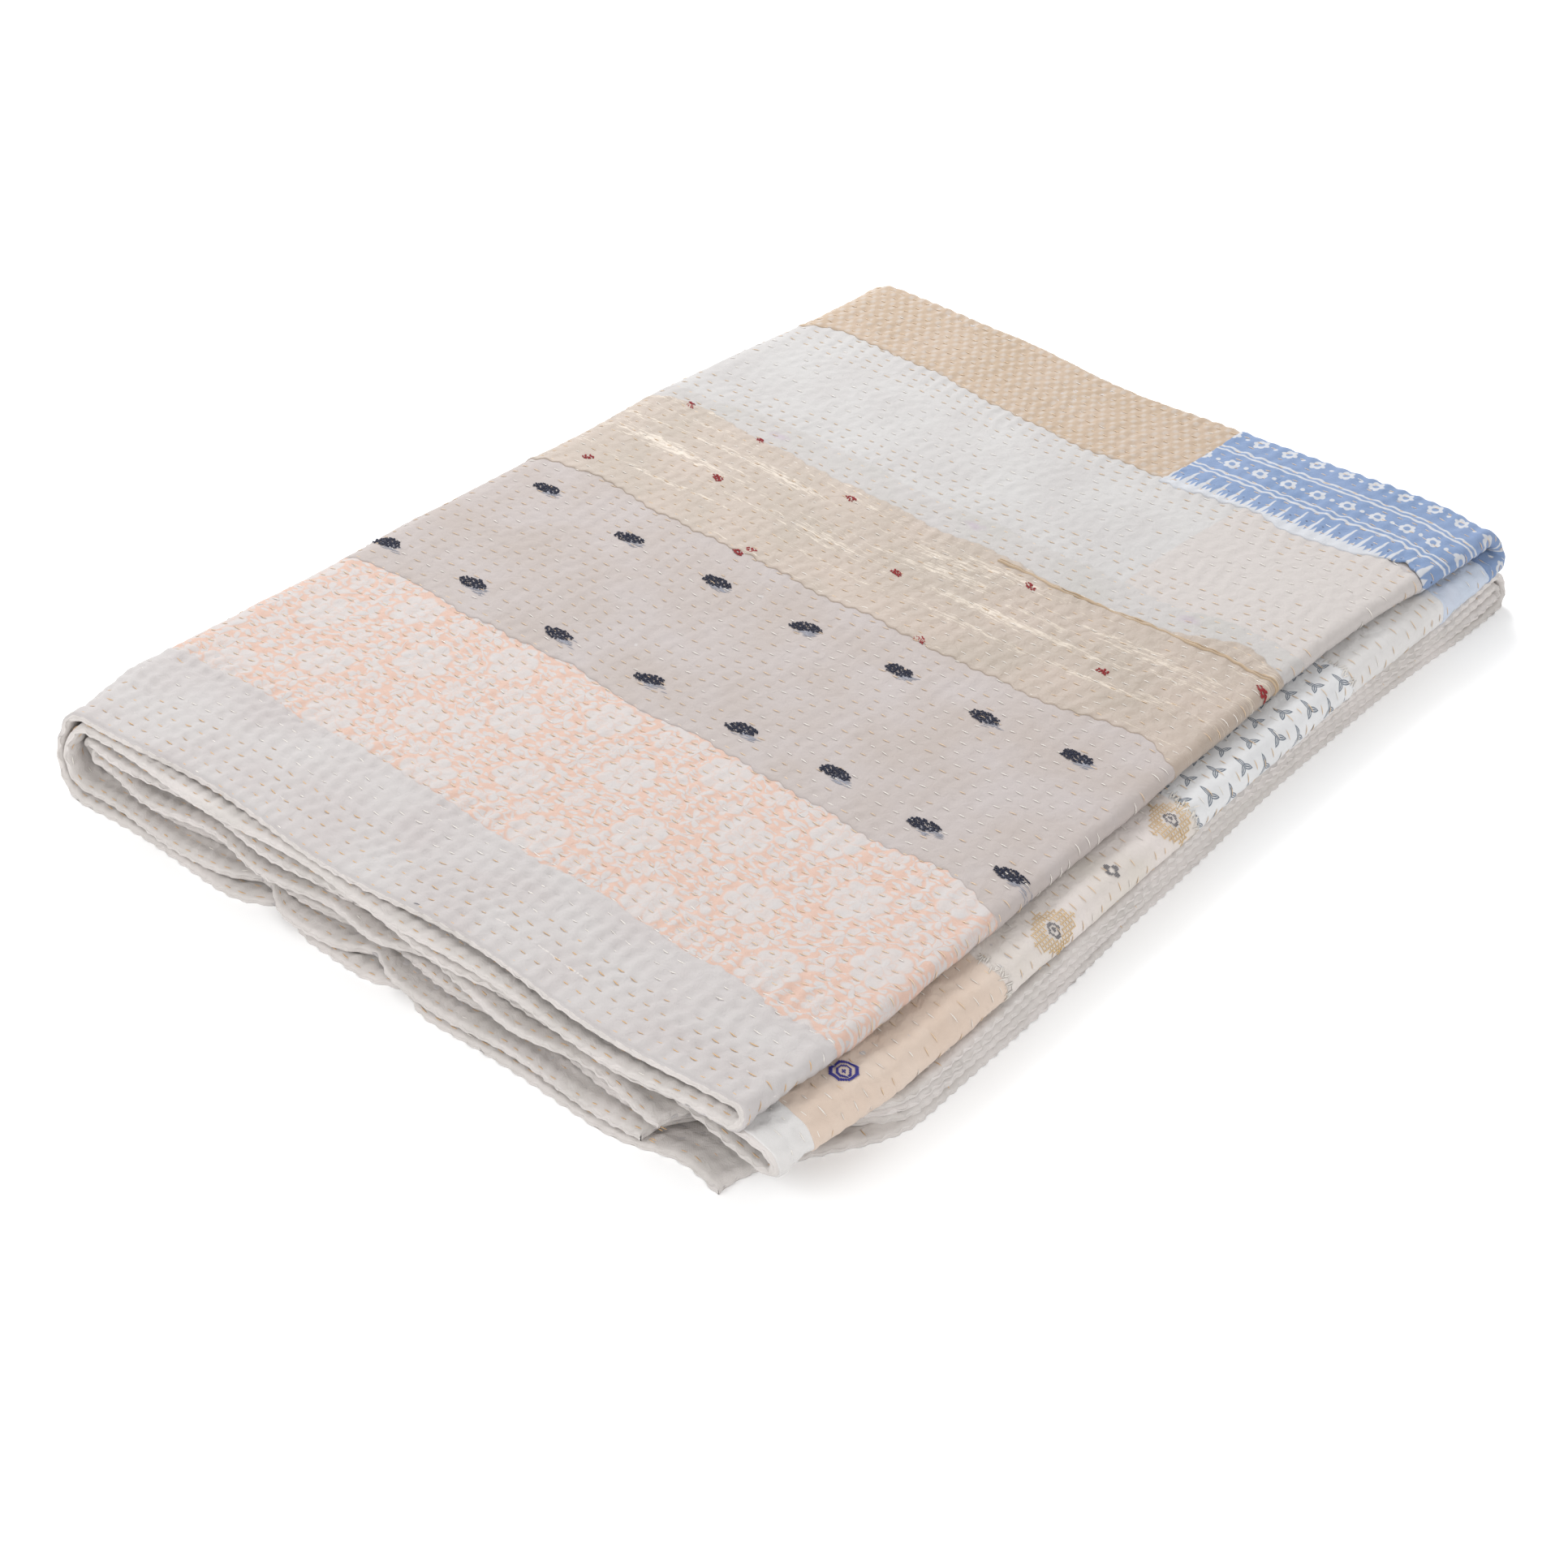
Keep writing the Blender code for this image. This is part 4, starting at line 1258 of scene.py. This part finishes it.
# ---- Floor, light and camera ----
# A white floor under an even white sky, one soft lamp behind the pile and two in front of
# it, and the camera of the photograph: 36 degrees down on the pile, from its front right.

FLOOR_SIZE = 6.0
CAMERA_PLACE = (0.9677, -1.2156, 1.057)
CAMERA_PITCH = math.radians(36.2)
CAMERA_YAW = math.radians(39.3)
CAMERA_LENS = 66.8  # mm, on a sensor 36 mm wide

half_floor = FLOOR_SIZE / 2.0
corners = np.array([(-1.0, -1.0, 0.0), (1.0, -1.0, 0.0), (1.0, 1.0, 0.0), (-1.0, 1.0, 0.0)])
corners = corners * half_floor
floor_mesh = bpy.data.meshes.new("floor")
floor_mesh.from_pydata(corners.tolist(), [], [(0, 1, 2, 3)])
floor = bpy.data.objects.new("floor", floor_mesh)
bpy.context.collection.objects.link(floor)
floor_paint = bpy.data.materials.new("matt_white_board")
floor_paint.use_nodes = True
floor_shader = floor_paint.node_tree.nodes["Principled BSDF"]
floor_shader.inputs["Base Color"].default_value = linear("#FDFDFD")
floor_shader.inputs["Roughness"].default_value = 0.95
floor_mesh.materials.append(floor_paint)

world = bpy.data.worlds.new("soft_studio")
world.use_nodes = True
world.node_tree.nodes["Background"].inputs["Color"].default_value = linear("#FFFFFF")
world.node_tree.nodes["Background"].inputs["Strength"].default_value = 0.74
bpy.context.scene.world = world

Lamp = namedtuple("Lamp", "name place size power")
LAMPS = (
    Lamp("low_back_left", (-1.5, 1.5, 1.5), 1.0, 62.0),
    Lamp("front_left", (-0.9, -2.2, 1.5), 1.8, 31.0),
    Lamp("front_right", (2.2, -0.9, 1.2), 1.8, 24.0),
)
for lamp in LAMPS:
    light = bpy.data.lights.new(lamp.name, "AREA")
    light.size = lamp.size
    light.energy = lamp.power
    thing = bpy.data.objects.new(lamp.name, light)
    thing.location = lamp.place
    thing.rotation_euler = (-Vector(lamp.place)).to_track_quat("-Z", "Y").to_euler()
    bpy.context.collection.objects.link(thing)

forward = Vector(
    (
        -math.sin(CAMERA_YAW) * math.cos(CAMERA_PITCH),
        math.cos(CAMERA_YAW) * math.cos(CAMERA_PITCH),
        -math.sin(CAMERA_PITCH),
    )
)
camera_data = bpy.data.cameras.new("photo_view")
camera_data.lens = CAMERA_LENS
camera_data.sensor_width = 36.0
camera_data.clip_end = 20.0
camera = bpy.data.objects.new("photo_view", camera_data)
camera.location = CAMERA_PLACE
camera.rotation_euler = forward.to_track_quat("-Z", "Y").to_euler()
bpy.context.collection.objects.link(camera)
bpy.context.scene.camera = camera
bpy.context.scene.view_settings.view_transform = "Standard"
